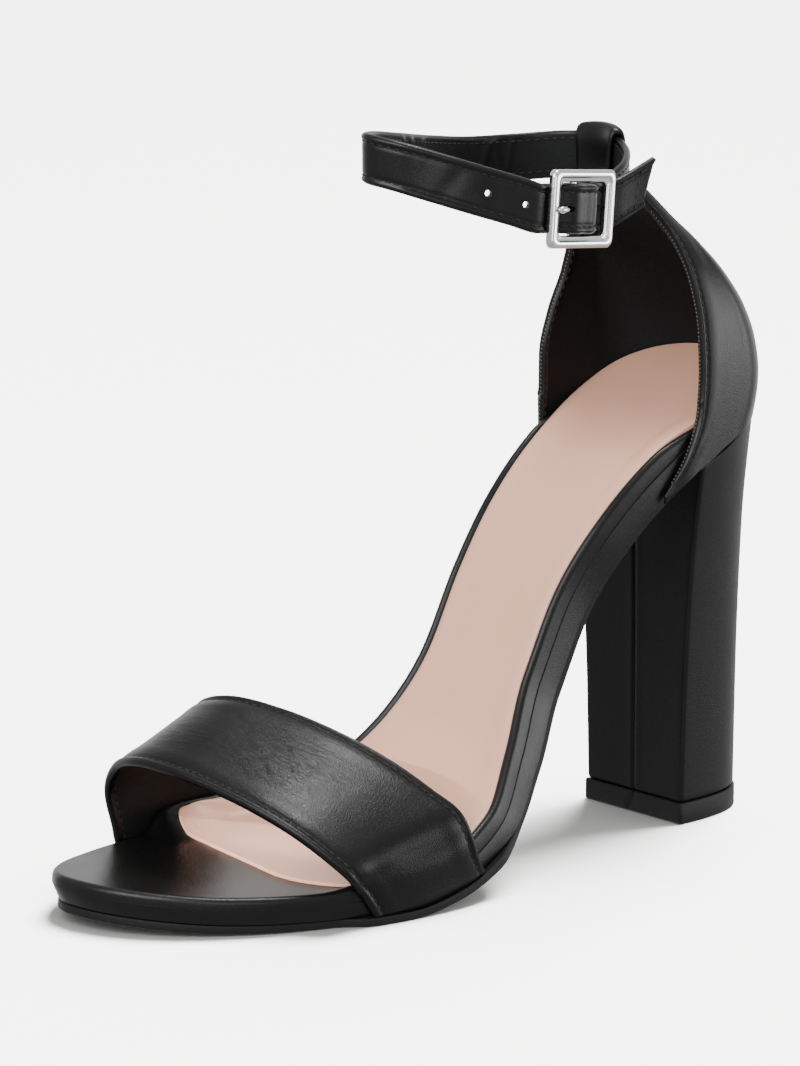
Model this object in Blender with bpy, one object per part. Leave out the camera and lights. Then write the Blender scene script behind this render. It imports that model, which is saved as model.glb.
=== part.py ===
"""Ankle-strap sandal on a block heel, left shoe, about EU size 37 to 38.

Everything is worked out in millimetres about the foot of the heel's front face:
+X runs to the toe, +Y to the outer side of the foot and +Z up from the floor.
The finished pieces hang on one empty, which carries the shoe to its own frame:
the middle of its box, on the floor, in metres.
"""
import math

import bmesh
import bpy
import numpy as np
from mathutils import Matrix, Vector

MM = 0.001
GAP = 0.3

# Layers under the foot, top to bottom
SOCK_T = 1.0
BOARD_T = 2.8
OUTSOLE_T = 1.8
SOCK_INSET = 2.5
SOCK_SEAT_INSET = 0.5
SOCK_FRONT = 128.2
SOCK_TIP_START = 117.5
SOCK_TIP_Y = 12.0
SOCK_TIP_POWER = 1.3
OUTSOLE_INSET = 1.0
OUTSOLE_START = 6.5
OUTSOLE_FLARE = 3.2
PLATFORM_T = (
    # x, thickness
    (-40.0, 6.2),
    (60.0, 6.2),
    (96.0, 3.8),
    (180.0, 3.8),
)
FOREFOOT_H = SOCK_T + BOARD_T + PLATFORM_T[-1][1] + OUTSOLE_T + 3 * GAP

# The last, seen from the side: height of the sock along the foot
PROFILE = (
    # x, z
    (-26.5, 120.2),
    (-18.0, 116.0),
    (-8.0, 110.8),
    (6.0, 104.4),
    (20.0, 95.8),
    (33.0, 84.0),
    (45.0, 68.0),
    (56.0, 49.5),
    (67.0, 33.0),
    (80.0, 19.4),
    (95.0, 12.4),
    (108.0, FOREFOOT_H),
    (128.0, FOREFOOT_H),
    (148.0, FOREFOOT_H + 0.5),
    (172.0, FOREFOOT_H + 2.6),
)

# The last, seen from above, between seat and ball
PLAN = (
    # x, outer half width, inner half width
    (-8.0, 24.2, 24.2),
    (6.0, 24.8, 24.6),
    (20.0, 24.2, 22.8),
    (33.0, 22.8, 21.2),
    (45.0, 20.8, 20.0),
    (56.0, 22.0, 18.8),
    (67.0, 27.6, 22.8),
    (80.0, 34.2, 32.0),
    (96.0, 36.2, 39.5),
    (114.0, 36.2, 42.0),
)
HEEL_BACK = -26.5
SEAT_X = -8.0
SEAT_POWER = 2.1
BALL_OUTER_X = 96.0
BALL_INNER_X = 114.0
TOE_X = 172.0
TOE_Y = -15.0
TOE_POWER = 1.95
RUNGS = 44

# The heel, lofted through D-shaped sections
LIFT_H = 5.6
LIFT_STEP = 0.4
HEEL_POWER = 2.6
HEEL_SIDES = 22
HEEL = (
    # share of height, half width, back of the D, front face
    (0.00, 17.7, -29.0, 0.0),
    (0.35, 18.7, -29.0, 0.0),
    (0.70, 21.2, -29.0, 0.2),
    (0.90, 24.4, -29.2, 1.0),
    (1.00, 26.4, -29.4, 1.6),
)

# Uppers
WALL = 2.0
STRAP_CROWN = 1.2
STRAP_UPRIGHT = 6.0
SEAT_GAP = 0.4
TOE_STRAP = (
    # rear edge x, y, z, front edge x, y, z
    (90.0, 34.5, 21.8, 127.0, 34.2, 13.5),
    (94.0, 29.0, 26.8, 133.0, 26.0, 21.0),
    (98.5, 21.0, 32.3, 137.0, 15.0, 26.0),
    (104.0, 10.0, 37.8, 140.0, 2.0, 29.4),
    (110.0, -6.0, 42.4, 142.6, -12.0, 31.6),
    (115.0, -20.6, 44.0, 143.2, -24.6, 31.4),
    (115.0, -32.0, 40.4, 141.6, -34.0, 28.2),
    (109.5, -39.8, 30.8, 140.0, -39.8, 21.5),
)
TOE_STRAP_FOOT = (
    # outer, then inner side: rear and front x at the platform's foot, rear and front x at the board's top
    (84.0, 117.6, 87.5, 122.0),
    (94.0, 136.0, 97.0, 137.0),
)
COUNTER = (
    # back x, z; outer edge x, z; inner edge x, z; width factor; shift in y
    (-26.7, 110.0, 14.2, 88.6, 12.4, 90.0, 1.000, 0.0),
    (-26.8, 115.0, 8.0, 97.5, 9.6, 97.5, 1.000, 0.0),
    (-26.2, 120.6, 3.6, 108.0, 9.8, 107.0, 1.000, 0.0),
    (-24.2, 127.0, 2.4, 119.0, 9.8, 118.0, 0.990, 0.0),
    (-20.2, 134.0, 2.2, 130.0, 7.5, 129.0, 0.955, 0.0),
    (-14.2, 141.4, 2.9, 141.0, 4.0, 139.5, 0.875, -0.3),
    (-7.0, 148.8, 4.2, 149.6, 3.0, 148.6, 0.750, -1.0),
    (0.0, 156.0, 6.0, 156.8, 5.0, 156.2, 0.560, -2.0),
    (5.4, 163.4, 9.8, 163.4, 9.0, 163.4, 0.400, -3.0),
)

# The ankle strap and its hardware
STRAP_W = 12.0
STRAP_T = 1.6
LOOP_WALL = 1.3
LOOP_CLEAR = 0.6
LOOP_REACH = (6.0, 8.5)
BUCKLE_AT = (46.4, 28.2, 164.2)
BUCKLE_HEADING = (1.0, 0.10, 0.09)
BUCKLE_LENGTH = 22.6
BUCKLE_HEIGHT = 19.0
BUCKLE_BAR = 3.0
BUCKLE_DEPTH = 2.2
BUCKLE_CORNER = 2.6
BAR_CLEAR = 0.5
PIN_R = 0.9
PIN_DEPTH = -2.2
PRONG_R = 0.6
HOLE_R = 1.2
HOLES = (-27.7, -17.6, 7.6)  # along the strap from the middle of the buckle
RING = (
    # x, y, z of the strap's middle, from the buckle's back round to its front
    (25.0, 20.5, 166.7),
    (13.5, 9.5, 169.7),
    (8.0, -3.0, 171.2),
    (10.5, -15.0, 171.0),
    (20.0, -23.0, 170.3),
    (35.0, -24.8, 170.5),
    (51.0, -20.5, 172.3),
    (70.0, -11.5, 175.1),
    (84.0, -4.5, 177.1),
    (91.2, 2.5, 177.6),
    (88.5, 11.0, 176.1),
    (81.5, 17.6, 173.3),
    (73.5, 22.6, 170.3),
    (64.8, 26.4, 167.3),
)
FREE_SLANT = 9.0
FREE_LIFT = 2.0
FREE_END = (
    # along, out and up from the buckle's middle
    (-16.0, -0.2, 1.6),
    (-20.5, 0.9, 3.8),
    (-28.0, 3.2, 8.2),
)


def smooth(xs, ys):
    """Cubic through a table's points that never swings past them."""
    xs = np.array(xs, float)
    ys = np.array(ys, float)
    step = np.diff(xs)
    rise = np.diff(ys) / step
    slope = np.zeros_like(ys)
    slope[0] = rise[0]
    slope[-1] = rise[-1]
    for i in range(1, len(xs) - 1):
        if rise[i - 1] * rise[i] > 0:
            slope[i] = 2 * rise[i - 1] * rise[i] / (rise[i - 1] + rise[i])

    def value(x):
        i = np.clip(np.searchsorted(xs, x) - 1, 0, len(step) - 1)
        t = np.clip((x - xs[i]) / step[i], 0, 1)
        a = ys[i] * (1 + 2 * t) * (1 - t) ** 2
        b = step[i] * slope[i] * t * (1 - t) ** 2
        c = ys[i + 1] * t * t * (3 - 2 * t)
        d = step[i] * slope[i + 1] * t * t * (t - 1)
        return a + b + c + d

    return value


def lengths(points):
    """Distance run at each point of a path."""
    return np.concatenate([[0], np.cumsum(np.linalg.norm(np.diff(points, axis=0), axis=1))])


def resample(rows, run, where):
    """Rows of a table along a path, read at other distances."""
    return np.stack([np.interp(where, run, rows[:, i]) for i in range(rows.shape[1])], axis=1)


def spline(points, count):
    """Evenly spaced points on a round curve through the given ones."""
    pts = np.array(points, float)
    ends = (2 * pts[0] - pts[1], 2 * pts[-1] - pts[-2])
    pts = np.vstack([ends[0], pts, ends[1]])
    fine = []
    for p0, p1, p2, p3 in zip(pts, pts[1:], pts[2:], pts[3:]):
        knots = [0.0]
        for a, b in ((p0, p1), (p1, p2), (p2, p3)):
            knots.append(knots[-1] + max(np.linalg.norm(b - a), 1e-6) ** 0.5)
        k0, k1, k2, k3 = knots
        for k in np.linspace(k1, k2, 24, endpoint=False):
            a1 = p0 * (k1 - k) / (k1 - k0) + p1 * (k - k0) / (k1 - k0)
            a2 = p1 * (k2 - k) / (k2 - k1) + p2 * (k - k1) / (k2 - k1)
            a3 = p2 * (k3 - k) / (k3 - k2) + p3 * (k - k2) / (k3 - k2)
            b1 = a1 * (k2 - k) / (k2 - k0) + a2 * (k - k0) / (k2 - k0)
            b2 = a2 * (k3 - k) / (k3 - k1) + a3 * (k - k1) / (k3 - k1)
            fine.append(b1 * (k2 - k) / (k2 - k1) + b2 * (k - k1) / (k2 - k1))
    fine.append(pts[-2])
    fine = np.array(fine)
    run = lengths(fine)
    return resample(fine, run, np.linspace(0, run[-1], count))


sock_z = smooth(*zip(*PROFILE))
platform_t = smooth(*zip(*PLATFORM_T))
outer_y = smooth([row[0] for row in PLAN], [row[1] for row in PLAN])
inner_y = smooth([row[0] for row in PLAN], [row[2] for row in PLAN])


def close(x, start, end, power):
    """Share of the width left between start and end of a rounded tip."""
    t = min(max((x - start) / (end - start), 0.0), 1.0)
    return (1 - t ** power) ** (1 / power)


def outline(x):
    """Outer and inner edge of the footbed, as y, at a place along the foot."""
    outer = float(outer_y(x))
    inner = -float(inner_y(x))
    if x < SEAT_X:
        share = close(x, SEAT_X, HEEL_BACK, SEAT_POWER)
        return outer * share, inner * share
    if x > BALL_OUTER_X:
        outer = TOE_Y + (outer - TOE_Y) * close(x, BALL_OUTER_X, TOE_X, TOE_POWER)
    if x > BALL_INNER_X:
        inner = TOE_Y + (inner - TOE_Y) * close(x, BALL_INNER_X, TOE_X, TOE_POWER)
    return outer, inner


def board_top(x):
    return -SOCK_T - GAP


def platform_top(x):
    return board_top(x) - BOARD_T - GAP


def platform_low(x):
    return platform_top(x) - float(platform_t(x))


def outsole_top(x):
    return platform_low(x) - GAP


def under(x, depth):
    """Side view of a layer: upright under the seat, square to the sock further on."""
    pitch = math.atan2(float(sock_z(x + 0.5) - sock_z(x - 0.5)), 1.0)
    blend = min(max((x + 5.0) / 30.0, 0.0), 1.0)
    pitch *= blend * blend * (3 - 2 * blend)
    return x - depth * math.sin(pitch), float(sock_z(x)) + depth * math.cos(pitch)


def station_at(x_want, level):
    """Place along the last whose layer at that level lies straight above or below a given x."""
    low, high = x_want - 2.0, x_want + 14.0
    for _ in range(40):
        mid = (low + high) / 2
        if under(mid, level(mid))[0] < x_want:
            low = mid
        else:
            high = mid
    return mid


def height_at(x_want, level):
    """Height of a layer straight above or below a given x."""
    x = station_at(x_want, level)
    return under(x, level(x))[1]


def edge_at(x_want, side):
    """Widest reach of the sole's wall at a given x, on the outer (0) or inner (1) side."""
    reach = [outline(station_at(x_want, level))[side] for level in (board_top, platform_low)]
    return max(reach) + GAP if side == 0 else min(reach) - GAP


def rungs(start, end, count):
    """Places along the foot, closer together at both ends."""
    return [start + (end - start) * (1 - math.cos(math.pi * i / count)) / 2 for i in range(count + 1)]


def material(name, colour, roughness, metallic=0.0):
    mat = bpy.data.materials.new(name)
    mat.use_nodes = True
    shader = mat.node_tree.nodes["Principled BSDF"]
    shader.inputs["Base Color"].default_value = (*colour, 1.0)
    shader.inputs["Roughness"].default_value = roughness
    shader.inputs["Metallic"].default_value = metallic
    return mat


def add_object(name, verts, faces, mat, matrix=None):
    """New object from points in millimetres, its faces turned outward."""
    mesh = bpy.data.meshes.new(name)
    mesh.from_pydata([tuple(float(c) * MM for c in v) for v in verts], [], faces)
    bm = bmesh.new()
    bm.from_mesh(mesh)
    bmesh.ops.recalc_face_normals(bm, faces=bm.faces)
    bm.to_mesh(mesh)
    bm.free()
    mesh.materials.append(mat)
    obj = bpy.data.objects.new(name, mesh)
    bpy.context.collection.objects.link(obj)
    if matrix is not None:
        obj.matrix_world = matrix
    return obj


def loft(name, sections, mat, closed=False, caps=True, matrix=None):
    """Skin through sections of equal length, each a closed ring of points."""
    size = len(sections[0])
    verts = [p for section in sections for p in section]
    faces = []
    spans = len(sections) if closed else len(sections) - 1
    for i in range(spans):
        a = i * size
        b = (i + 1) % len(sections) * size
        for j in range(size):
            k = (j + 1) % size
            faces.append((a + j, a + k, b + k, b + j))
    if caps and not closed:
        faces.append(tuple(range(size)))
        faces.append(tuple(range(len(verts) - size, len(verts))))
    return add_object(name, verts, faces, mat, matrix)


def boolean(obj, tool, operation):
    """Cut or join with a tool object, then drop the tool."""
    mod = obj.modifiers.new(operation.lower(), "BOOLEAN")
    mod.operation = operation
    mod.object = tool
    bpy.context.view_layer.update()
    graph = bpy.context.evaluated_depsgraph_get()
    mesh = bpy.data.meshes.new_from_object(obj.evaluated_get(graph))
    obj.modifiers.clear()
    obj.data = mesh
    bpy.data.objects.remove(tool)


def sock_inset(x):
    """The sock fills the seat and leaves a rim of the board bare from the waist on."""
    t = min(max((x - SEAT_X) / 20.0, 0.0), 1.0)
    return SOCK_SEAT_INSET + (SOCK_INSET - SOCK_SEAT_INSET) * t * t * (3 - 2 * t)


def foot_flare(x, foot):
    """Extra reach of the outsole below one foot of the toe strap."""
    rise = min(max((x - foot[0] + 9.0) / 9.0, 0.0), 1.0)
    fall = min(max((x - foot[1]) / 9.0, 0.0), 1.0)
    return OUTSOLE_FLARE * rise * rise * (3 - 2 * rise) * (1 - fall * fall * (3 - 2 * fall))


def sole_layer(name, top, low, inset, start, end, mat, tip=False, flared=False):
    """One layer under the foot, as a ladder of sections that follow the last."""
    sections = []
    for x in rungs(start, end, RUNGS):
        lag = inset(start) * (end - x) / (end - start) if start < SEAT_X else 0.0
        outer, inner = outline(x - lag)
        outer, inner = outer - inset(x), inner + inset(x)
        if flared:
            outer += foot_flare(x, TOE_STRAP_FOOT[0])
            inner -= foot_flare(x, TOE_STRAP_FOOT[1])
        if tip:
            share = close(x, SOCK_TIP_START, SOCK_FRONT + 0.4, SOCK_TIP_POWER)
            outer = SOCK_TIP_Y + (outer - SOCK_TIP_Y) * share
            inner = SOCK_TIP_Y + (inner - SOCK_TIP_Y) * share
        if outer - inner < 4.0:
            middle = (outer + inner) / 2
            outer, inner = middle + 2.0, middle - 2.0
        a = under(x, top(x))
        b = under(x, low(x))
        sections.append([(a[0], outer, a[1]), (b[0], outer, b[1]),
                         (b[0], inner, b[1]), (a[0], inner, a[1])])
    return loft(name, sections, mat)


def d_section(half, back, front, height):
    """D-shaped ring: flat front face, sides drawn round to the back."""
    ring = []
    for i in range(HEEL_SIDES + 1):
        turn = math.pi * i / HEEL_SIDES
        along = math.sin(turn) ** (2 / HEEL_POWER)
        across = math.copysign(abs(math.cos(turn)) ** (2 / HEEL_POWER), math.cos(turn))
        x = front + (back - front) * along
        ring.append((x, half * across, height(x)))
    return ring


def d_solid(name, sections, mat):
    """Loft of D sections whose two ends are closed in strips across the heel."""
    size = HEEL_SIDES + 1
    obj = loft(name, sections, mat, caps=False)
    bm = bmesh.new()
    bm.from_mesh(obj.data)
    bm.verts.ensure_lookup_table()
    for first in (0, len(bm.verts) - size):
        ring = bm.verts[first:first + size]
        for i in range(size // 2):
            corners = [ring[i], ring[i + 1], ring[size - 2 - i], ring[size - 1 - i]]
            bm.faces.new(list(dict.fromkeys(corners)))
    bmesh.ops.recalc_face_normals(bm, faces=bm.faces)
    bm.to_mesh(obj.data)
    bm.free()
    return obj


def heel(mats):
    """Block and top lift."""
    base = LIFT_H + GAP
    sections = []
    for share, half, back, front in HEEL:
        def height(x, share=share):
            return base + (height_at(x, outsole_top) - base) * share
        sections.append(d_section(half, back, front, height))
    d_solid("heel_block", sections, mats["leather"])
    _, half, back, front = HEEL[0]
    lift = [d_section(half + LIFT_STEP, back - LIFT_STEP, front + LIFT_STEP, lambda x, z=z: z)
            for z in (0.0, LIFT_H)]
    d_solid("top_lift", lift, mats["rubber"])


def shell(name, grid, mat, outward, seated):
    """Wall of the upper: a sheet and its copy one wall further out, seated rows level with the platform."""
    sheet = np.array(grid, float)
    normal = np.cross(np.gradient(sheet, axis=0), np.gradient(sheet, axis=1))
    normal /= np.linalg.norm(normal, axis=2)[:, :, None]
    cover = sheet + outward * WALL * normal
    for row in seated:
        cover[row, :, 2] = [height_at(x, platform_low) for x in cover[row, :, 0]]
    rows, cols = sheet.shape[:2]
    size = rows * cols
    verts = list(sheet.reshape(-1, 3)) + list(cover.reshape(-1, 3))
    faces = []
    for i in range(rows - 1):
        for j in range(cols - 1):
            quad = (i * cols + j, i * cols + j + 1, (i + 1) * cols + j + 1, (i + 1) * cols + j)
            faces.append(quad)
            faces.append(tuple(k + size for k in quad[::-1]))
    rim = [j for j in range(cols)]
    rim += [i * cols + cols - 1 for i in range(1, rows)]
    rim += [(rows - 1) * cols + j for j in range(cols - 2, -1, -1)]
    rim += [i * cols for i in range(rows - 2, 0, -1)]
    for a, b in zip(rim, rim[1:] + rim[:1]):
        faces.append((a, b, b + size, a + size))
    return add_object(name, verts, faces, mat)


def toe_strap(mats):
    """Broad band over the toes, from sole edge to sole edge."""
    sides = []
    for foot, side in zip(TOE_STRAP_FOOT, (0, 1)):
        rows = []
        for pair, level in ((foot[:2], platform_low), (foot[2:], board_top)):
            row = []
            for x in pair:
                row += [x, edge_at(x, side), height_at(x, level)]
            rows.append(row)
        sides.append(rows)
    rows = sides[0] + [list(row) for row in TOE_STRAP] + sides[1][::-1]
    rear = spline([row[:3] for row in rows], 34)
    front = spline([row[3:] for row in rows], 34)
    grid = []
    for i, (a, b) in enumerate(zip(rear, front)):
        crown = STRAP_CROWN * math.sin(math.pi * i / (len(rear) - 1))
        row = [a + (b - a) * t + np.array((0, 0, crown * 4 * t * (1 - t))) for t in np.linspace(0, 1, 9)]
        for p in row:
            if p[2] < height_at(p[0], board_top) + STRAP_UPRIGHT:
                p[1] = max(p[1], edge_at(p[0], 0)) if p[1] > 0 else min(p[1], edge_at(p[0], 1))
        grid.append(row)
    shell("toe_strap", grid, mats["leather"], 1, (0, -1))


def counter_sheet(turns=14, levels=14):
    """Inner face of the heel cup: the seat's own outline, carried up and leaned forward."""
    cols = [smooth(np.linspace(0, 1, len(COUNTER)), col) for col in zip(*COUNTER)]
    front = COUNTER[0][2]
    grid = []
    for v in np.linspace(0, 1, levels):
        xb, zb, xo, zo, xi, zi, width, shift = [float(col(v)) for col in cols]
        row = []
        for i in range(2 * turns + 1):
            side = 0 if i <= turns else 1
            share = abs(1 - i / turns)
            along = 1 - math.cos(share * math.pi / 2) ** 1.2
            edge_x, edge_z = ((xo, zo), (xi, zi))[side]
            x = xb + (edge_x - xb) * along
            z = zb + (edge_z - zb) * along
            if v == 0:
                z = height_at(x, platform_low)
            like = outline(HEEL_BACK + (front - HEEL_BACK) * along)[side]
            y = like * width + shift + (SEAT_GAP, -SEAT_GAP)[side] * min(share * 8, 1)
            if x > SEAT_X and z < height_at(x, board_top) + STRAP_UPRIGHT:
                y = max(y, edge_at(x, 0)) if side == 0 else min(y, edge_at(x, 1))
            row.append((x, y, z))
        grid.append(row)
    return grid


def frame_along(points, ups):
    """Tangent, width and outward directions along a strap's path."""
    tangent = np.gradient(points, axis=0)
    tangent /= np.linalg.norm(tangent, axis=1)[:, None]
    width = ups - tangent * (tangent * ups).sum(axis=1)[:, None]
    width /= np.linalg.norm(width, axis=1)[:, None]
    return tangent, width, np.cross(width, tangent)


def band(name, points, ups, width, thick, mat, slant=0.0, lift=0.0):
    """Flat strap along a path, standing on its edge, the lower corner of its last end cut back."""
    _, wide, out = frame_along(points, ups)
    run = lengths(points)
    cut = np.clip(1 - (run[-1] - run) / (3 * slant), 0, 1) if slant else np.zeros(len(run))
    high = points + wide * width / 2
    low = resample(points - wide * width / 2, run, run - slant * cut) + wide * lift * cut[:, None]
    high_out = out * thick / 2
    low_out = resample(high_out, run, run - slant * cut)
    corners = [high + high_out, low + low_out, low - low_out, high - high_out]
    return loft(name, list(np.stack(corners, axis=1)), mat)


def buckle_matrix():
    """Frame of the buckle: X along the strap to the toe, Y outward, Z up its width."""
    along = Vector(BUCKLE_HEADING).normalized()
    up = Vector((0, 0, 1))
    up = (up - along * up.dot(along)).normalized()
    out = up.cross(along)
    turn = Matrix((along, out, up)).transposed().to_4x4()
    return Matrix.Translation(Vector(BUCKLE_AT) * MM) @ turn


def strap_path():
    """Middle line of the ankle strap, from its fold on the centre bar to the free end."""
    place = buckle_matrix()

    def local(along, out, up=0.0):
        return np.array(place @ (Vector((along, out, up)) * MM)) / MM

    fold_r = PIN_R + GAP + STRAP_T / 2
    inside = PIN_DEPTH - fold_r
    over = PIN_DEPTH + fold_r + STRAP_T + GAP
    tuck = -BAR_CLEAR - STRAP_T / 2
    bar = (BUCKLE_LENGTH - BUCKLE_BAR) / 2
    fold = [local(-2.2, PIN_DEPTH + fold_r)]
    for turn in range(90, -91, -30):
        angle = math.radians(turn)
        fold.append(local(fold_r * math.cos(angle), PIN_DEPTH + fold_r * math.sin(angle)))
    fold.append(local(-4.0, inside))
    ring = [local(-bar, inside)] + [np.array(p) for p in RING]
    flat = BUCKLE_BAR / 2 + 0.3
    ring += [local(bar + 3.5, tuck), local(bar + flat, tuck)]
    free = [local(bar + flat, tuck), local(bar - flat, tuck), local(3.0, over), local(0, over),
            local(-3.0, over), local(flat - bar, tuck), local(-bar - flat, tuck)]
    free += [local(*row) for row in FREE_END]
    return fold, ring, free


def ankle_strap(mats):
    """Strap with its holes; gives its path and upright directions for the loop."""
    fold, ring, free = strap_path()
    place = buckle_matrix()
    parts = (spline(fold, 18)[:-1], spline([fold[-1]] + ring, 78)[:-1], spline(free, 34))
    path = np.vstack(parts)
    square = np.array(place.col[2][:3])
    ease = np.clip(4 - 8 * np.abs(np.linspace(-0.5, 0.5, len(parts[1]))), 0, 1)[:, None]
    upright = square + (np.array((0, 0, 1.0)) - square) * ease
    ups = np.vstack([np.tile(square, (len(parts[0]), 1)), upright, np.tile(square, (len(parts[2]), 1))])
    strap = band("ankle_strap", path, ups, STRAP_W, STRAP_T, mats["leather"],
                 FREE_SLANT, FREE_LIFT)
    punch_holes(strap, place, path, ups)
    return path, ups


def cutter(name, size, matrix):
    """Plain box used to cut a slot."""
    bm = bmesh.new()
    bmesh.ops.create_cube(bm, size=1.0)
    bmesh.ops.scale(bm, vec=Vector(size) * MM, verts=bm.verts)
    mesh = bpy.data.meshes.new(name)
    bm.to_mesh(mesh)
    bm.free()
    obj = bpy.data.objects.new(name, mesh)
    bpy.context.collection.objects.link(obj)
    obj.matrix_world = matrix
    obj.hide_render = True
    obj.display_type = "WIRE"
    return obj


def drill(name, radius, depth, matrix, stretch=1.0):
    """Round or oval cutter along its own Y."""
    bm = bmesh.new()
    bmesh.ops.create_cone(bm, cap_ends=True, segments=12, radius1=radius * MM,
                          radius2=radius * MM, depth=depth * MM)
    bmesh.ops.rotate(bm, matrix=Matrix.Rotation(math.pi / 2, 3, "X"), verts=bm.verts)
    bmesh.ops.scale(bm, vec=(stretch, 1, 1), verts=bm.verts)
    mesh = bpy.data.meshes.new(name)
    bm.to_mesh(mesh)
    bm.free()
    obj = bpy.data.objects.new(name, mesh)
    bpy.context.collection.objects.link(obj)
    obj.matrix_world = matrix
    obj.hide_render = True
    obj.display_type = "WIRE"
    return obj


def punch_holes(strap, place, path, ups):
    """Slot for the prong in the fold, an oval hole where it comes through, and the row of spare holes."""
    slot = place @ Matrix.Translation(Vector((0.6, PIN_DEPTH, 0)) * MM)
    boolean(strap, cutter("prong_slot", (6.6, 5.8, 2.4), slot), "DIFFERENCE")
    oval = place @ Matrix.Translation(Vector((3.2, 1.6, 0)) * MM)
    boolean(strap, drill("prong_hole", HOLE_R, 3.4, oval, 2.2), "DIFFERENCE")
    middle = np.array(place.translation) / MM
    _, wide, out = frame_along(path, ups)
    run = lengths(path)
    late = run > run[-1] * 0.6
    centre = run[late][np.linalg.norm(path[late] - middle, axis=1).argmin()]
    for step in HOLES:
        at = [np.interp(centre + step, run, path[:, i]) for i in range(3)]
        i = int(np.abs(run - centre - step).argmin())
        side = np.cross(out[i], wide[i])
        turn = Matrix((Vector(side), Vector(out[i]), Vector(wide[i]))).transposed().to_4x4()
        hole = Matrix.Translation(Vector(at) * MM) @ turn
        boolean(strap, drill("hole", HOLE_R, STRAP_T + 1.0, hole), "DIFFERENCE")


def counter(mats, path, ups):
    """Heel cup, with the turned loop that carries the ankle strap at its top."""
    cup = shell("counter", counter_sheet(), mats["leather"], -1, (0,))
    middle = np.linalg.norm(path - np.array(RING[2]), axis=1).argmin()
    run = lengths(path)
    reach = np.linspace(run[middle] - LOOP_REACH[0], run[middle] + LOOP_REACH[1], 9)
    part = resample(path, run, reach)
    rise = np.tile(ups[middle], (len(part), 1))
    slot_w, slot_t = STRAP_W + 2 * LOOP_CLEAR, STRAP_T + 2 * LOOP_CLEAR
    loop = band("loop", part, rise, slot_w + 2 * LOOP_WALL, slot_t + 2 * LOOP_WALL, mats["leather"])
    ends = np.vstack([part[0] * 2 - part[1], part, part[-1] * 2 - part[-2]])
    rise = np.tile(ups[middle], (len(ends), 1))
    boolean(loop, band("tunnel", ends, rise, slot_w, slot_t, mats["leather"]), "DIFFERENCE")
    boolean(cup, loop, "UNION")


def rounded(length, height, corner, steps=4):
    """Rectangle with round corners, as a ring of points."""
    ring = []
    for sx, sz, first in ((1, 1, 0), (-1, 1, 90), (-1, -1, 180), (1, -1, 270)):
        for i in range(steps + 1):
            angle = math.radians(first + 90 * i / steps)
            ring.append((sx * (length / 2 - corner) + corner * math.cos(angle),
                         sz * (height / 2 - corner) + corner * math.sin(angle)))
    return ring


def buckle(mats):
    """Square frame, its centre bar set lower, and the prong on the bar."""
    place = buckle_matrix()
    outer = rounded(BUCKLE_LENGTH, BUCKLE_HEIGHT, BUCKLE_CORNER)
    inner = rounded(BUCKLE_LENGTH - 2 * BUCKLE_BAR, BUCKLE_HEIGHT - 2 * BUCKLE_BAR, 1.4)
    lip = 0.5
    ring_out = rounded(BUCKLE_LENGTH - 2 * lip, BUCKLE_HEIGHT - 2 * lip, BUCKLE_CORNER - lip)
    ring_in = rounded(BUCKLE_LENGTH - 2 * BUCKLE_BAR + 2 * lip,
                      BUCKLE_HEIGHT - 2 * BUCKLE_BAR + 2 * lip, 1.9)
    sections = []
    for i in range(len(outer)):
        sections.append([(outer[i][0], 0, outer[i][1]),
                         (outer[i][0], BUCKLE_DEPTH - lip, outer[i][1]),
                         (ring_out[i][0], BUCKLE_DEPTH, ring_out[i][1]),
                         (ring_in[i][0], BUCKLE_DEPTH, ring_in[i][1]),
                         (inner[i][0], BUCKLE_DEPTH - lip, inner[i][1]),
                         (inner[i][0], 0, inner[i][1])])
    frame = loft("buckle_frame", sections, mats["chrome"], closed=True, matrix=place)
    side = BUCKLE_HEIGHT / 2 - BUCKLE_BAR / 2
    bend = side - 0.9
    half = [(0, BUCKLE_DEPTH / 2, side), (0, PIN_DEPTH + 0.4, bend), (0, PIN_DEPTH, bend - 0.6),
            (0, PIN_DEPTH, bend - 1.2)]
    line = half + [(0, y, -z) for _, y, z in half[::-1]]
    bar = wire("centre_bar", spline(line, 28), PIN_R, mats["chrome"], place)
    boolean(frame, bar, "UNION")
    hook = PIN_R + 0.3 + PRONG_R
    prong = []
    for turn in range(330, 89, -30):
        angle = math.radians(turn)
        prong.append((hook * math.cos(angle), PIN_DEPTH + hook * math.sin(angle)))
    rest = BUCKLE_DEPTH + 0.3 + PRONG_R
    prong += [(2.2, 0.5), (4.2, 2.4), (6.4, rest + 0.1), (BUCKLE_LENGTH / 2 + 0.6, rest)]
    wire("buckle_prong", spline([(a, o, 0) for a, o in prong], 30), PRONG_R, mats["chrome"], place)


def wire(name, points, radius, mat, matrix):
    """Round wire along a flat path."""
    tangent = np.gradient(points, axis=0)
    tangent /= np.linalg.norm(tangent, axis=1)[:, None]
    flat = np.array((1.0, 0, 0)) if abs(points[:, 0]).max() < 1e-6 else np.array((0, 0, 1.0))
    sections = []
    for p, t in zip(points, tangent):
        across = np.cross(t, flat)
        sections.append([p + radius * (math.cos(a) * flat + math.sin(a) * across)
                         for a in np.linspace(0, 2 * math.pi, 8, endpoint=False)])
    return loft(name, sections, mat, matrix=matrix)


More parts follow.
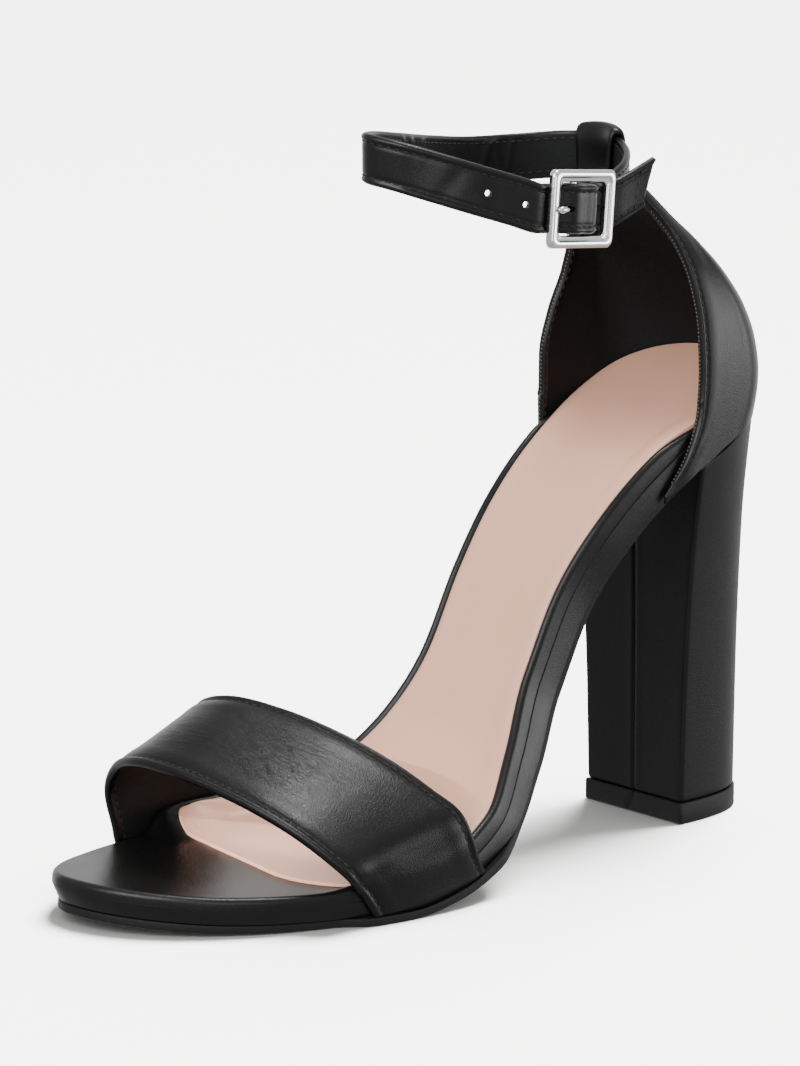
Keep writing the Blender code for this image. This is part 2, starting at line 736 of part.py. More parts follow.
def main():
    for obj in list(bpy.data.objects):
        bpy.data.objects.remove(obj)
    mats = {
        "leather": material("black_leather", (0.012, 0.012, 0.013), 0.38),
        "lining": material("beige_lining", (0.72, 0.56, 0.49), 0.55),
        "rubber": material("black_rubber", (0.010, 0.010, 0.010), 0.7),
        "chrome": material("polished_metal", (0.78, 0.78, 0.79), 0.12, 1.0),
    }
    back = HEEL_BACK + GAP
    toe = TOE_X - 0.2
    sole_layer("sock", lambda x: 0.0, lambda x: -SOCK_T, sock_inset, back + SOCK_SEAT_INSET, SOCK_FRONT,
               mats["lining"], True)
    sole_layer("insole_board", board_top, lambda x: board_top(x) - BOARD_T, lambda x: 0.0, back, toe,
               mats["leather"])
    sole_layer("platform", platform_top, platform_low, lambda x: 0.0, back, toe, mats["leather"])
    sole_layer("outsole", outsole_top, lambda x: outsole_top(x) - OUTSOLE_T, lambda x: OUTSOLE_INSET,
               OUTSOLE_START, toe - OUTSOLE_INSET, mats["rubber"], flared=True)
    heel(mats)
    toe_strap(mats)
    path, ups = ankle_strap(mats)
    counter(mats, path, ups)
    buckle(mats)
    place_shoe()


def place_shoe():
    """Hang every piece on one empty that carries the shoe's frame."""
    bpy.context.view_layer.update()
    graph = bpy.context.evaluated_depsgraph_get()
    pieces = [obj for obj in bpy.data.objects if obj.type == "MESH"]
    corners = []
    for obj in pieces:
        done = obj.evaluated_get(graph)
        corners += [done.matrix_world @ v.co for v in done.to_mesh().vertices]
        done.to_mesh_clear()
    low = [min(c[i] for c in corners) for i in range(2)]
    high = [max(c[i] for c in corners) for i in range(2)]
    shoe = bpy.data.objects.new("shoe", None)
    bpy.context.collection.objects.link(shoe)
    for obj in pieces:
        obj.parent = shoe
    shoe.location = (-(low[0] + high[0]) / 2, -(low[1] + high[1]) / 2, 0)


main()
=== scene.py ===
# %% [markdown]
# # Ankle-strap block-heel sandal: the looks
#
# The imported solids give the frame. They could be dressed with materials alone, but leather shows its
# edges, seams and folds as shape. So each solid is made again here as the real thing, with a mesh of
# its own that stands for it: wrapped leather with rolled edges, a pale sock, sewn straps and a polished
# buckle. Shapes are worked out in millimetres about the foot of the heel's front face, as in the part's
# source: +X to the toe, +Y to the outer side of the foot and +Z up.

import math

import bmesh
import bpy
import numpy as np
from mathutils import Matrix, Vector


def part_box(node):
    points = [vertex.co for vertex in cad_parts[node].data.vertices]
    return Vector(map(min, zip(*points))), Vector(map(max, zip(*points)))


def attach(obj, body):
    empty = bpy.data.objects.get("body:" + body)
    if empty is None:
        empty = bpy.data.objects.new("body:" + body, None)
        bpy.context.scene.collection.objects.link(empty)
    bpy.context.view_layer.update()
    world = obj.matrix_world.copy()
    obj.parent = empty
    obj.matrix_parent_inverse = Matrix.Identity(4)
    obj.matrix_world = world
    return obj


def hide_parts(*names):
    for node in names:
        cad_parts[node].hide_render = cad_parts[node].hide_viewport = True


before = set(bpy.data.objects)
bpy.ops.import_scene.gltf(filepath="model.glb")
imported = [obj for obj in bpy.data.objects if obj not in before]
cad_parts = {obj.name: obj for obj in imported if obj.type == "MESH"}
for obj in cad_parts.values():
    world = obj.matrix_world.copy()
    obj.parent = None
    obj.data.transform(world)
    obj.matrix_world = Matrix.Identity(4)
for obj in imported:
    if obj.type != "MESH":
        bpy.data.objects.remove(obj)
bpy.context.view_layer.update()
MM = 0.001
GAP = 0.3
LIFT_STEP = 0.4
lift_low, lift_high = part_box("top_lift")
ORIGIN = np.array((lift_high.x - LIFT_STEP * MM, (lift_low.y + lift_high.y) / 2, 0.0))

# %% [markdown]
# ## Sizes of the last
#
# A shoe is built on a last, a block with the shape of the foot. It could be sculpted, but here it is a
# side profile and a plan, each a short table of points, because every layer of the sole hangs from the
# same curves. The values are those of the solids, so that every piece lies where its solid is.

# %% Sole and last
SOCK_T = 1.0
BOARD_T = 2.8
OUTSOLE_T = 1.8
SOCK_INSET = 2.5
SOCK_SEAT_INSET = -0.6
SOCK_FRONT = 128.2
SOCK_TIP = (
    # x, y along the curved front edge, outer side and inner side
    ((112.0, 33.2), (116.0, 32.3), (119.5, 30.8), (122.2, 28.6), (124.4, 25.6), (126.0, 22.4), (127.2, 19.0),
     (127.9, 15.6), (128.2, 11.5)),
    ((112.0, -39.4), (117.6, -39.1), (119.9, -37.6), (121.2, -34.5), (122.1, -30.0), (122.9, -24.5),
     (123.9, -18.0), (124.8, -12.0), (125.7, -6.0), (126.6, 0.0), (127.4, 5.0), (127.9, 8.4), (128.2, 11.5)),
)
CURL = 4.6
OUTSOLE_INSET = 1.0
OUTSOLE_START = 6.5
OUTSOLE_FLARE = 3.2
TIP = 0.0001
PLATFORM_T = ((-40.0, 6.2), (60.0, 6.2), (96.0, 3.8), (180.0, 3.8))
FOREFOOT_H = SOCK_T + BOARD_T + PLATFORM_T[-1][1] + OUTSOLE_T + 3 * GAP
PROFILE = (
    # x, z
    (-26.5, 120.2), (-18.0, 116.0), (-8.0, 110.8), (6.0, 104.4), (20.0, 95.8), (33.0, 84.0), (45.0, 68.0),
    (56.0, 49.5), (67.0, 33.0), (80.0, 19.4), (95.0, 12.4), (108.0, FOREFOOT_H), (128.0, FOREFOOT_H),
    (148.0, FOREFOOT_H + 0.5), (172.0, FOREFOOT_H + 2.6),
)
PLAN = (
    # x, outer half width, inner half width
    (-8.0, 24.2, 24.2), (6.0, 24.8, 24.6), (20.0, 24.2, 22.8), (33.0, 22.8, 21.2), (45.0, 20.8, 20.0),
    (56.0, 22.0, 18.8), (67.0, 27.6, 22.8), (80.0, 34.2, 32.0), (96.0, 36.2, 39.5), (114.0, 36.2, 42.0),
)
HEEL_BACK = -26.5
SEAT_X = -8.0
SEAT_POWER = 2.1
BALL_OUTER_X = 96.0
BALL_INNER_X = 114.0
TOE_X = 172.0
TOE_Y = -15.0
TOE_POWER = 1.95
print("footbed from", HEEL_BACK, "to", TOE_X, "mm, seat", PROFILE[0][1], "mm up")

# %% [markdown]
# ## Curves
#
# Profiles, outlines and straps are smooth lines through few points. Blender's curve objects could hold
# them, but plain functions can be asked for a height or a width at any place, and the layers of the
# sole need that.

# %% Curve helpers


def smooth(xs, ys):
    """Cubic through a table's points that never swings past them."""
    xs = np.array(xs, float)
    ys = np.array(ys, float)
    step = np.diff(xs)
    rise = np.diff(ys) / step
    slope = np.zeros_like(ys)
    slope[0] = rise[0]
    slope[-1] = rise[-1]
    for i in range(1, len(xs) - 1):
        if rise[i - 1] * rise[i] > 0:
            slope[i] = 2 * rise[i - 1] * rise[i] / (rise[i - 1] + rise[i])

    def value(x):
        i = np.clip(np.searchsorted(xs, x) - 1, 0, len(step) - 1)
        t = np.clip((x - xs[i]) / step[i], 0, 1)
        a = ys[i] * (1 + 2 * t) * (1 - t) ** 2
        b = step[i] * slope[i] * t * (1 - t) ** 2
        c = ys[i + 1] * t * t * (3 - 2 * t)
        d = step[i] * slope[i + 1] * t * t * (t - 1)
        return a + b + c + d

    return value


def lengths(points):
    """Distance run at each point of a path."""
    return np.concatenate([[0], np.cumsum(np.linalg.norm(np.diff(points, axis=0), axis=1))])


def resample(rows, run, where):
    """Rows of a table along a path, read at other distances."""
    return np.stack([np.interp(where, run, rows[:, i]) for i in range(rows.shape[1])], axis=1)


def spline(points, count):
    """Evenly spaced points on a round curve through the given ones."""
    pts = np.array(points, float)
    pts = np.vstack([2 * pts[0] - pts[1], pts, 2 * pts[-1] - pts[-2]])
    fine = []
    for p0, p1, p2, p3 in zip(pts, pts[1:], pts[2:], pts[3:]):
        knots = [0.0]
        for a, b in ((p0, p1), (p1, p2), (p2, p3)):
            knots.append(knots[-1] + max(np.linalg.norm(b - a), 1e-6) ** 0.5)
        k0, k1, k2, k3 = knots
        k = np.linspace(k1, k2, 48, endpoint=False)[:, None]
        a1 = p0 * (k1 - k) / (k1 - k0) + p1 * (k - k0) / (k1 - k0)
        a2 = p1 * (k2 - k) / (k2 - k1) + p2 * (k - k1) / (k2 - k1)
        a3 = p2 * (k3 - k) / (k3 - k2) + p3 * (k - k2) / (k3 - k2)
        b1 = a1 * (k2 - k) / (k2 - k0) + a2 * (k - k0) / (k2 - k0)
        b2 = a2 * (k3 - k) / (k3 - k1) + a3 * (k - k1) / (k3 - k1)
        fine.append(b1 * (k2 - k) / (k2 - k1) + b2 * (k - k1) / (k2 - k1))
    fine = np.vstack(fine + [pts[-2]])
    run = lengths(fine)
    return resample(fine, run, np.linspace(0, run[-1], count))


def close(x, start, end, power):
    """Share of the width left between start and end of a rounded tip."""
    t = np.clip((x - start) / (end - start), 0, 1)
    return (1 - t ** power) ** (1 / power)


def ease(t):
    t = np.clip(t, 0, 1)
    return t * t * (3 - 2 * t)


def ramp(x, start, length):
    """Soft step from 0 to 1 that starts at a place and takes a length."""
    return ease((x - start) / length)


def bell(x, width):
    """Soft bump of height 1, by distance from its middle."""
    return np.exp(-(x / width) ** 2)


print("ease at a half:", ease(0.5))

# %% [markdown]
# ## The last
#
# The foot's outline closes in a round seat at the heel and a round tip at the toe. Each layer lies
# under the sock at its own depth. A deformed plane could do this too, but with functions no layer can
# drift from another.

# %% The last
sock_z = smooth(*zip(*PROFILE))
platform_t = smooth(*zip(*PLATFORM_T))
outer_y = smooth([row[0] for row in PLAN], [row[1] for row in PLAN])
inner_y = smooth([row[0] for row in PLAN], [row[2] for row in PLAN])


def outline(x):
    """Outer and inner edge of the footbed, as y, at places along the foot."""
    seat = close(x, SEAT_X, HEEL_BACK, SEAT_POWER)
    outer = outer_y(x) * seat
    inner = -inner_y(x) * seat
    outer = TOE_Y + (outer - TOE_Y) * close(x, BALL_OUTER_X, TOE_X, TOE_POWER)
    inner = TOE_Y + (inner - TOE_Y) * close(x, BALL_INNER_X, TOE_X, TOE_POWER)
    return outer, inner


tip_outer, tip_inner = [smooth(*zip(*side)) for side in SOCK_TIP]
SOCK_BLEND = 20.0
SOCK_TIP_BLEND = 5.0


def sock_outline(x):
    """The sock fills the seat, leaves a rim bare from the waist on and ends in a curved front."""
    inset = SOCK_SEAT_INSET + (SOCK_INSET - SOCK_SEAT_INSET) * ramp(x, SEAT_X, SOCK_BLEND)
    outer, inner = outline(x)
    inset = inset * np.where(x < SEAT_X, close(x, SEAT_X, HEEL_BACK, SEAT_POWER), 1.0)
    tip = ramp(x, SOCK_TIP[0][0][0], SOCK_TIP_BLEND)
    outer = (outer - inset) * (1 - tip) + tip_outer(x) * tip
    inner = (inner + inset) * (1 - tip) + tip_inner(x) * tip
    return outer, inner


CURL_START = (88.0, 14.0)
CURL_END = (123.0, 6.0)
CURL_WIDTH = 4.5


def curl(x, y):
    """Rise of the sock and board against the strap's lining, on the inner side."""
    edge = outline(x)[1] + SOCK_INSET
    along = ramp(x, *CURL_START) * (1 - ramp(x, *CURL_END))
    return CURL * along * np.where(y < edge, 1.0, bell(y - edge, CURL_WIDTH))


def board_top(x):
    return -SOCK_T - GAP + 0 * x


def platform_top(x):
    return board_top(x) - BOARD_T - GAP


def platform_low(x):
    return platform_top(x) - platform_t(x)


def outsole_top(x):
    return platform_low(x) - GAP


UPRIGHT_END = (-5.0, 30.0)


def under(x, depth):
    """Side view of a layer: upright under the seat, square to the sock further on."""
    pitch = np.arctan2(sock_z(x + 0.5) - sock_z(x - 0.5), 1.0) * ramp(x, *UPRIGHT_END)
    return x - depth * np.sin(pitch), sock_z(x) + depth * np.cos(pitch)


STATIONS = np.linspace(-70.0, 200.0, 2701)
LEVELS = (board_top, platform_low, outsole_top)
SIDE_VIEW = {level: under(STATIONS, level(STATIONS)) for level in LEVELS}


def height_at(x, level):
    """Height of a layer straight above or below given places."""
    return np.interp(x, *SIDE_VIEW[level])


def edge_at(x, side):
    """Widest reach of the sole's wall at given places, on the outer (0) or inner (1) side."""
    reach = []
    for level in (board_top, platform_low):
        reach.append(outline(np.interp(x, SIDE_VIEW[level][0], STATIONS))[side])
    return np.maximum(*reach) + GAP if side == 0 else np.minimum(*reach) - GAP


print("ball of the foot", np.round(np.subtract(*outline(np.array([BALL_INNER_X]))), 1), "mm wide")

# %% [markdown]
# ## Materials
#
# Smooth black leather with a fine grain, a dull black lining, the satin sock, moulded rubber, polished
# metal and sewing thread. Pictures of leather could be wrapped round the meshes, but nodes have no
# resolution and take their scale from real sizes. Patterns run on object coordinates, in metres, so
# that 1000 divided by a size in millimetres is a pattern's scale.

# %% Material helpers


def rgb(code):
    """Linear colour of an sRGB hex code."""
    out = []
    for i in (0, 2, 4):
        c = int(code[i:i + 2], 16) / 255
        out.append(c / 12.92 if c <= 0.04045 else ((c + 0.055) / 1.055) ** 2.4)
    return (*out, 1.0)


def node(tree, kind, values=(), **settings):
    """New shader or geometry node with its settings, and its inputs set or linked by name."""
    new = tree.nodes.new(kind)
    for key, value in settings.items():
        setattr(new, key, value)
    for key, value in dict(values).items():
        socket = new.inputs[key]
        if isinstance(value, bpy.types.NodeSocket):
            tree.links.new(value, socket)
        else:
            socket.default_value = value
    return new


def surface(name, colour, roughness, **values):
    """New material; gives it with its tree and shader."""
    mat = bpy.data.materials.new(name)
    mat.use_nodes = True
    tree = mat.node_tree
    shader = tree.nodes["Principled BSDF"]
    shader.inputs["Base Color"].default_value = rgb(colour)
    shader.inputs["Roughness"].default_value = roughness
    for key, value in values.items():
        shader.inputs[key.replace("_", " ")].default_value = value
    return mat, tree, shader


def per_metre(size):
    """Scale of a pattern whose features have a given size in millimetres."""
    return 1000.0 / size


print("black leather is", [round(c, 4) for c in rgb("0b0b0b")], "in linear light")

# %% [markdown]
# ### Leather
#
# Grain is the hide's own relief: small pebbles with furrows between, and pores. It could be sculpted,
# but it is far below a millimetre, so it is bump. Tone and gloss change a little from place to place,
# as the finish is sprayed on.

# %% Leather
PATCH_MM = 14.3
BEND_MM = 2.5
PORE_MM = 0.31
WRINKLE_MM = (9.1, 1.1)
WRINKLE_TURN = 0.5
WRINKLE_DEPTH = -4.5
BEND_REACH = 0.6 * MM
FURROW = 0.28
PORE_SHARE = 0.45
BUMP_DEPTH = 0.1 * MM


def worn_lines(tree, height):
    """Fine wrinkles that run along a sheet, only where its own mask asks for them."""
    sheet = node(tree, "ShaderNodeAttribute", attribute_name="sheet")
    worn = node(tree, "ShaderNodeAttribute", attribute_name="worn")
    drawn = node(tree, "ShaderNodeMapping",
                 {"Vector": sheet.outputs["Vector"], "Rotation": (0.0, 0.0, WRINKLE_TURN),
                  "Scale": (*map(per_metre, WRINKLE_MM), 1.0)})
    noise = node(tree, "ShaderNodeTexNoise",
                 {"Vector": drawn.outputs[0], "Scale": 1.0, "Detail": 3.0, "Distortion": 0.6})
    lines = node(tree, "ShaderNodeMapRange",
                 {"Value": noise.outputs["Fac"], "From Min": 0.56, "From Max": 0.44},
                 interpolation_type="SMOOTHSTEP")
    deep = node(tree, "ShaderNodeMath", {0: lines.outputs["Result"], 1: worn.outputs["Fac"]},
                operation="MULTIPLY")
    added = node(tree, "ShaderNodeMath", {0: deep.outputs[0], 1: WRINKLE_DEPTH, 2: height},
                 operation="MULTIPLY_ADD")
    return added.outputs[0]


def grained(name, colour, light, roughness, cell, depth, spread=0.03, wrinkled=False, **values):
    """Pebble grain of a given cell size in millimetres, with fine pores, patchy gloss and tone."""
    mat, tree, shader = surface(name, colour, roughness, **values)
    place = node(tree, "ShaderNodeTexCoord").outputs["Object"]
    patch = node(tree, "ShaderNodeTexNoise", {"Vector": place, "Scale": per_metre(PATCH_MM), "Detail": 4.0})
    tone = node(tree, "ShaderNodeMix", {0: patch.outputs["Fac"]}, data_type="RGBA")
    tone.inputs[6].default_value = rgb(colour)
    tone.inputs[7].default_value = rgb(light)
    tree.links.new(tone.outputs[2], shader.inputs["Base Color"])
    gloss = node(tree, "ShaderNodeMapRange",
                 {"Value": patch.outputs["Fac"], "From Min": 0.3, "From Max": 0.7,
                  "To Min": roughness - spread, "To Max": roughness + spread})
    tree.links.new(gloss.outputs["Result"], shader.inputs["Roughness"])
    bend = node(tree, "ShaderNodeTexNoise", {"Vector": place, "Scale": per_metre(BEND_MM), "Detail": 2.0})
    shift = node(tree, "ShaderNodeVectorMath", {0: bend.outputs["Color"], "Scale": BEND_REACH},
                 operation="SCALE")
    moved = node(tree, "ShaderNodeVectorMath", {0: place, 1: shift.outputs[0]}, operation="ADD")
    cells = node(tree, "ShaderNodeTexVoronoi", {"Vector": moved.outputs[0], "Scale": per_metre(cell)},
                 feature="DISTANCE_TO_EDGE")
    pebble = node(tree, "ShaderNodeMapRange",
                  {"Value": cells.outputs["Distance"], "From Min": 0.0, "From Max": FURROW},
                  interpolation_type="SMOOTHSTEP")
    pores = node(tree, "ShaderNodeTexNoise", {"Vector": place, "Scale": per_metre(PORE_MM), "Detail": 2.0})
    added = node(tree, "ShaderNodeMath",
                 {0: pores.outputs["Fac"], 1: PORE_SHARE, 2: pebble.outputs["Result"]},
                 operation="MULTIPLY_ADD")
    height = worn_lines(tree, added.outputs[0]) if wrinkled else added.outputs[0]
    bump = node(tree, "ShaderNodeBump", {"Height": height, "Strength": depth, "Distance": BUMP_DEPTH})
    tree.links.new(bump.outputs["Normal"], shader.inputs["Normal"])
    print(name, "grain", cell, "mm")
    return mat


# Finished black leather: dyed, sprayed with a thin clear coat and ironed, so the eye gets a near black
# with a soft, slightly broken gloss. Its grain is about 0.2 mm, finer than a pixel here, so it is drawn
# three times coarser.
LEATHER = grained("black_leather", "0b0b0b", "121212", 0.31, 0.6, 0.16, Specular_IOR_Level=0.32)
# The same leather bent over the toes: fine wrinkles along the strap catch the light.
STRAP = grained("black_strap_leather", "0a0a0a", "101010", 0.30, 0.55, 0.22, wrinkled=True,
                Specular_IOR_Level=0.26)
# Heel covers are stretched and left without a clear coat, so the sheen is broad and weak.
HEEL_LEATHER = grained("black_heel_leather", "0d0d0d", "131313", 0.46, 0.6, 0.16, Specular_IOR_Level=0.22)
# Lining leather, sanded on the flesh side: hardly any gloss. Its nap is drawn coarser than it is.
LINING = grained("black_lining", "161718", "1d1e1f", 0.55, 0.55, 0.45, Specular_IOR_Level=0.12)
# Coated sock lining: a smooth satin film, pale and warm, with a soft shine. Its grain is drawn coarser
# than it is.
SOCK = grained("beige_lining", "e6ac91", "ebb69d", 0.36, 0.6, 0.14, Specular_IOR_Level=0.45)
# Moulded rubber: the mould's fine blasted skin scatters light, so it is a dull charcoal.
RUBBER = grained("black_rubber", "0e0e0e", "151515", 0.5, 0.35, 0.35, Specular_IOR_Level=0.25)
# Twisted polyester thread: each bump has its own small glint. The twist is drawn coarser than it is.
THREAD = grained("black_thread", "121212", "1a1a1a", 0.4, 0.25, 0.5, Specular_IOR_Level=0.4)
GREY_THREAD = grained("grey_thread", "6a6866", "7a7876", 0.6, 0.25, 0.5, Specular_IOR_Level=0.3)

# %% [markdown]
# ### Plated metal
#
# The buckle is cast, polished and nickel plated: a mirror with faint polishing lines. A smooth mirror
# would look unreal, so lines 0.33 mm wide, coarser than the real ones, vary its roughness and tilt it a
# little.

# %% Plated metal
POLISH_MM = (3.3, 3.3, 0.33)
MIRROR = (0.08, 0.22)


def polished(name):
    """Plated metal with faint polishing lines."""
    mat, tree, shader = surface(name, "f2f2f3", MIRROR[0], Metallic=1.0)
    place = node(tree, "ShaderNodeTexCoord").outputs["Object"]
    drawn = node(tree, "ShaderNodeMapping", {"Vector": place, "Scale": tuple(map(per_metre, POLISH_MM))})
    noise = node(tree, "ShaderNodeTexNoise", {"Vector": drawn.outputs[0], "Scale": 1.0, "Detail": 3.0})
    gloss = node(tree, "ShaderNodeMapRange",
                 {"Value": noise.outputs["Fac"], "From Min": 0.3, "From Max": 0.7,
                  "To Min": MIRROR[0], "To Max": MIRROR[1]})
    tree.links.new(gloss.outputs["Result"], shader.inputs["Roughness"])
    bump = node(tree, "ShaderNodeBump",
                {"Height": noise.outputs["Fac"], "Strength": 0.06, "Distance": BUMP_DEPTH})
    tree.links.new(bump.outputs["Normal"], shader.inputs["Normal"])
    return mat


METAL = polished("polished_metal")
print(METAL.name, "lines", POLISH_MM[2], "mm")

# %% [markdown]
# ## Pieces from points
#
# A sheet, a rim or a wire is a grid of points, row by row. It could be modelled by hand with
# extrusions; a grid made in code keeps its rows where seams and edges need them. Each piece is one mesh
# at the origin that rides on the shoe.

# %% Mesh helpers


def quads(rows, cols, base=0, round_rows=False, round_cols=False, flip=False):
    """Faces of a grid of points."""
    faces = []
    for i in range(rows if round_rows else rows - 1):
        for j in range(cols if round_cols else cols - 1):
            a, b = i, (i + 1) % rows
            c, d = j, (j + 1) % cols
            face = (base + a * cols + c, base + a * cols + d, base + b * cols + d, base + b * cols + c)
            faces.append(face[::-1] if flip else face)
    return faces


def linked(name, data):
    """New object at the origin, in the scene."""
    obj = bpy.data.objects.new(name, data)
    bpy.context.scene.collection.objects.link(obj)
    return obj


def add_piece(name, verts, faces, mats, stands_for=(), kinds=None, weld=0.0, marks=None):
    """One mesh piece that rides on the shoe and may stand for solids."""
    mesh = bpy.data.meshes.new(name)
    mesh.from_pydata((ORIGIN + np.asarray(verts, float) * MM).tolist(), [], faces)
    for mat in mats:
        mesh.materials.append(mat)
    if kinds is not None:
        mesh.polygons.foreach_set("material_index", np.asarray(kinds, np.int32))
    for key, mark in (marks or {}).items():
        kind, field = ("FLOAT", "value") if mark.shape[1] == 1 else ("FLOAT_VECTOR", "vector")
        data = mesh.attributes.new(key, kind, "POINT").data
        data.foreach_set(field, mark.astype(np.float32).ravel())
    bm = bmesh.new()
    bm.from_mesh(mesh)
    if weld:
        bmesh.ops.remove_doubles(bm, verts=bm.verts, dist=weld * MM)
    bmesh.ops.recalc_face_normals(bm, faces=bm.faces)
    if bm.calc_volume(signed=True) < 0:
        bmesh.ops.reverse_faces(bm, faces=bm.faces)
    bm.to_mesh(mesh)
    bm.free()
    mesh.polygons.foreach_set("use_smooth", np.ones(len(mesh.polygons), bool))
    obj = linked(name, mesh)
    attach(obj, "root")
    if stands_for:
        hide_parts(*stands_for)
    print(name, len(mesh.polygons), "faces,", np.round(np.ptp(verts, axis=0), 1), "mm")
    return obj


def rounded_edge(top, low, r_top, r_low, reach, steps=6):
    """Profile of a layer's rim, as inset and depth, with round edges."""
    prof = [(reach, top)]
    for a in np.linspace(0, math.pi / 2, steps):
        prof.append((r_top * (1 - math.sin(a)), top - r_top * (1 - math.cos(a))))
    for a in np.linspace(math.pi / 2, 0, steps):
        prof.append((r_low * (1 - math.sin(a)), low + r_low * (1 - math.cos(a))))
    prof.append((reach, low))
    return prof


print("a rim has", len(rounded_edge(0.0, -2.0, 0.4, 0.4, 2.0)), "points")

# %% [markdown]
# ## Sole
#
# The foot rests on a thin sock, glued to a leather-wrapped board. Under it are the wrapped wall of the
# platform and the outsole. Each could be a bevelled extrusion of the outline, but their rims differ:
# padded, rolled or cut square. So each layer is a rim profile carried round the footprint, with the top
# and bottom filled across.

# %% Sole layers
RIM_ZONE = 2.5


def sole_piece(name, edges, start, end, rim, mats, stands_for, count=150, across=10, lift=None):
    """Layer of the sole: rim(x) gives inset and depth pairs from the top round to the bottom."""
    x = start + (end - start) * (1 - np.cos(np.linspace(0, math.pi, count))) / 2
    outer, inner = edges(x)
    loop = np.vstack([np.stack([x, outer], 1), np.stack([x, inner], 1)[::-1]])
    tangent = np.roll(loop, -1, axis=0) - np.roll(loop, 1, axis=0)
    tangent /= np.maximum(np.linalg.norm(tangent, axis=1), 1e-9)[:, None]
    inward = np.stack([tangent[:, 1], -tangent[:, 0]], 1)
    size = len(loop)
    prof = rim(loop[:, 0])
    half = np.concatenate([outer - inner, (outer - inner)[::-1]]) / 2
    room = np.clip(half / (1.6 * np.max(prof[0][0])), 0.08, 1.0)
    prof = [(np.minimum(inset, RIM_ZONE) + np.maximum(inset - RIM_ZONE, 0) * room, depth)
            for inset, depth in prof]
    verts = []

    def laid(p, depth):
        px, pz = under(p[:, 0], depth)
        return np.stack([px, p[:, 1], pz + (lift(p[:, 0], p[:, 1]) if lift else 0)], 1)

    for inset, depth in prof:
        p = loop + inward * inset[:, None]
        verts.append(laid(p, depth))
    faces = quads(len(prof), size, round_cols=True)
    base = len(prof) * size
    share = np.linspace(0, 1, across + 2)
    for ring, flip in ((0, True), (len(prof) - 1, False)):
        inset, depth = prof[ring]
        p = loop + inward * inset[:, None]
        depth = depth + np.zeros(size)
        a, b = p[:count], p[count:][::-1]
        da, db = depth[:count], depth[count:][::-1]
        inside = []
        for t in share[1:-1]:
            inside.append(laid(a + (b - a) * t, da + (db - da) * t))
        inside = np.stack(inside, axis=1)
        verts.append(inside.reshape(-1, 3))
        first = ring * size
        table = np.empty((count, across + 2), int)
        table[:, 0] = first + np.arange(count)
        table[:, -1] = first + size - 1 - np.arange(count)
        table[:, 1:-1] = base + np.arange(count * across).reshape(count, across)
        for i in range(count - 1):
            for j in range(across + 1):
                face = (table[i, j], table[i, j + 1], table[i + 1, j + 1], table[i + 1, j])
                faces.append(face[::-1] if flip else face)
        base += count * across
        ends = [tuple(table[0]), tuple(table[-1])[::-1]]
        faces += [e if not flip else e[::-1] for e in ends]
    return add_piece(name, np.vstack(verts), faces, mats, stands_for, weld=0.001)


print("platform wall", PLATFORM_T[0][1], "to", PLATFORM_T[-1][1], "mm high")

# %% [markdown]
# ### Sock
#
# The lining that the foot touches, with a little foam under it: a shallow trough runs inside a soft
# ridge, and its front edge is cut thin. It lies on the board and curls up a little against the toe
# strap's inner side.

# %% Sock
SOCK_RIM = (
    # inset, share of the ridge, sink
    (8.5, 0.0, 0.0), (6.5, -0.25, 0.0), (5.2, 0.0, 0.0), (3.8, 0.75, 0.0), (2.6, 1.0, 0.0), (1.5, 0.8, 0.0),
    (0.7, 0.35, 0.05),
)
SOCK_RIDGE = 0.42
SOCK_SKIVE = 0.5
# Place and length of each soft step along the sock
RIDGE_START = (-6.0, 16.0)
RIDGE_END = (112.0, 6.0)
TIGHTEN = (102.0, 12.0)
THIN_OUT = (104.0, 14.0)


def sock_rim(x):
    """The sock's padded edge: a shallow trough, a soft ridge and a thin skived edge."""
    ridge = SOCK_RIDGE * ramp(x, *RIDGE_START) * (1 - ramp(x, *RIDGE_END))
    tight = 1 - 0.78 * ramp(x, *TIGHTEN)
    thin = SOCK_SKIVE * ramp(x, *THIN_OUT)
    prof = [(inset * tight, share * ridge - sink - thin) for inset, share, sink in SOCK_RIM]
    edge = rounded_edge(-0.05 - thin, -SOCK_T - GAP + 0 * x, 0.25 + 0.25 * tight, 0.1, 1.6 * tight)
    return prof + edge[1:]


sole_piece("sock_leather", sock_outline, HEEL_BACK + TIP, SOCK_FRONT - TIP, sock_rim, [SOCK],
           ("sock",), count=260, across=14, lift=curl)

# %% [markdown]
# ### Board and platform
#
# Both are wrapped in the upper's leather. The board's rim is rolled and stands up beside the sock; the
# platform's wall is square and, at the toe, drawn in a little towards its foot. A bevel modifier would
# round both alike.

# %% Board and platform
BOARD_RIM = (
    # inset, share of the rolled rim
    (3.6, 0.0), (3.0, 0.15), (2.4, 0.55), (1.9, 0.88),
)
BOARD_ROLL = 1.8
ROLL_START = (2.0, 14.0)
ROLL_END = (116.0, 14.0)
TOE_SLANTS = (
    # draw-in, place and length of its soft step
    (1.1, 114.0, 22.0), (0.9, 140.0, 25.0),
)
JOINT_CLOSE = (112.0, 14.0)


def board_rim(x):
    """The wrapped board: a rolled rim that stands up beside the sock and flattens at the toe."""
    hump = BOARD_ROLL * ramp(x, *ROLL_START) * (1 - ramp(x, *ROLL_END))
    top = board_top(x)
    prof = [(inset, top + share * hump) for inset, share in BOARD_RIM]
    joint = 0.35 - 0.31 * ramp(x, *JOINT_CLOSE)
    return prof + rounded_edge(top + hump, platform_top(x) + GAP, 1.4, joint, 3.0, 8)[1:]


def toe_slant(x):
    """Draw-in of the wall's foot, at the toe only."""
    return sum(deep * ramp(x, start, length) for deep, start, length in TOE_SLANTS)


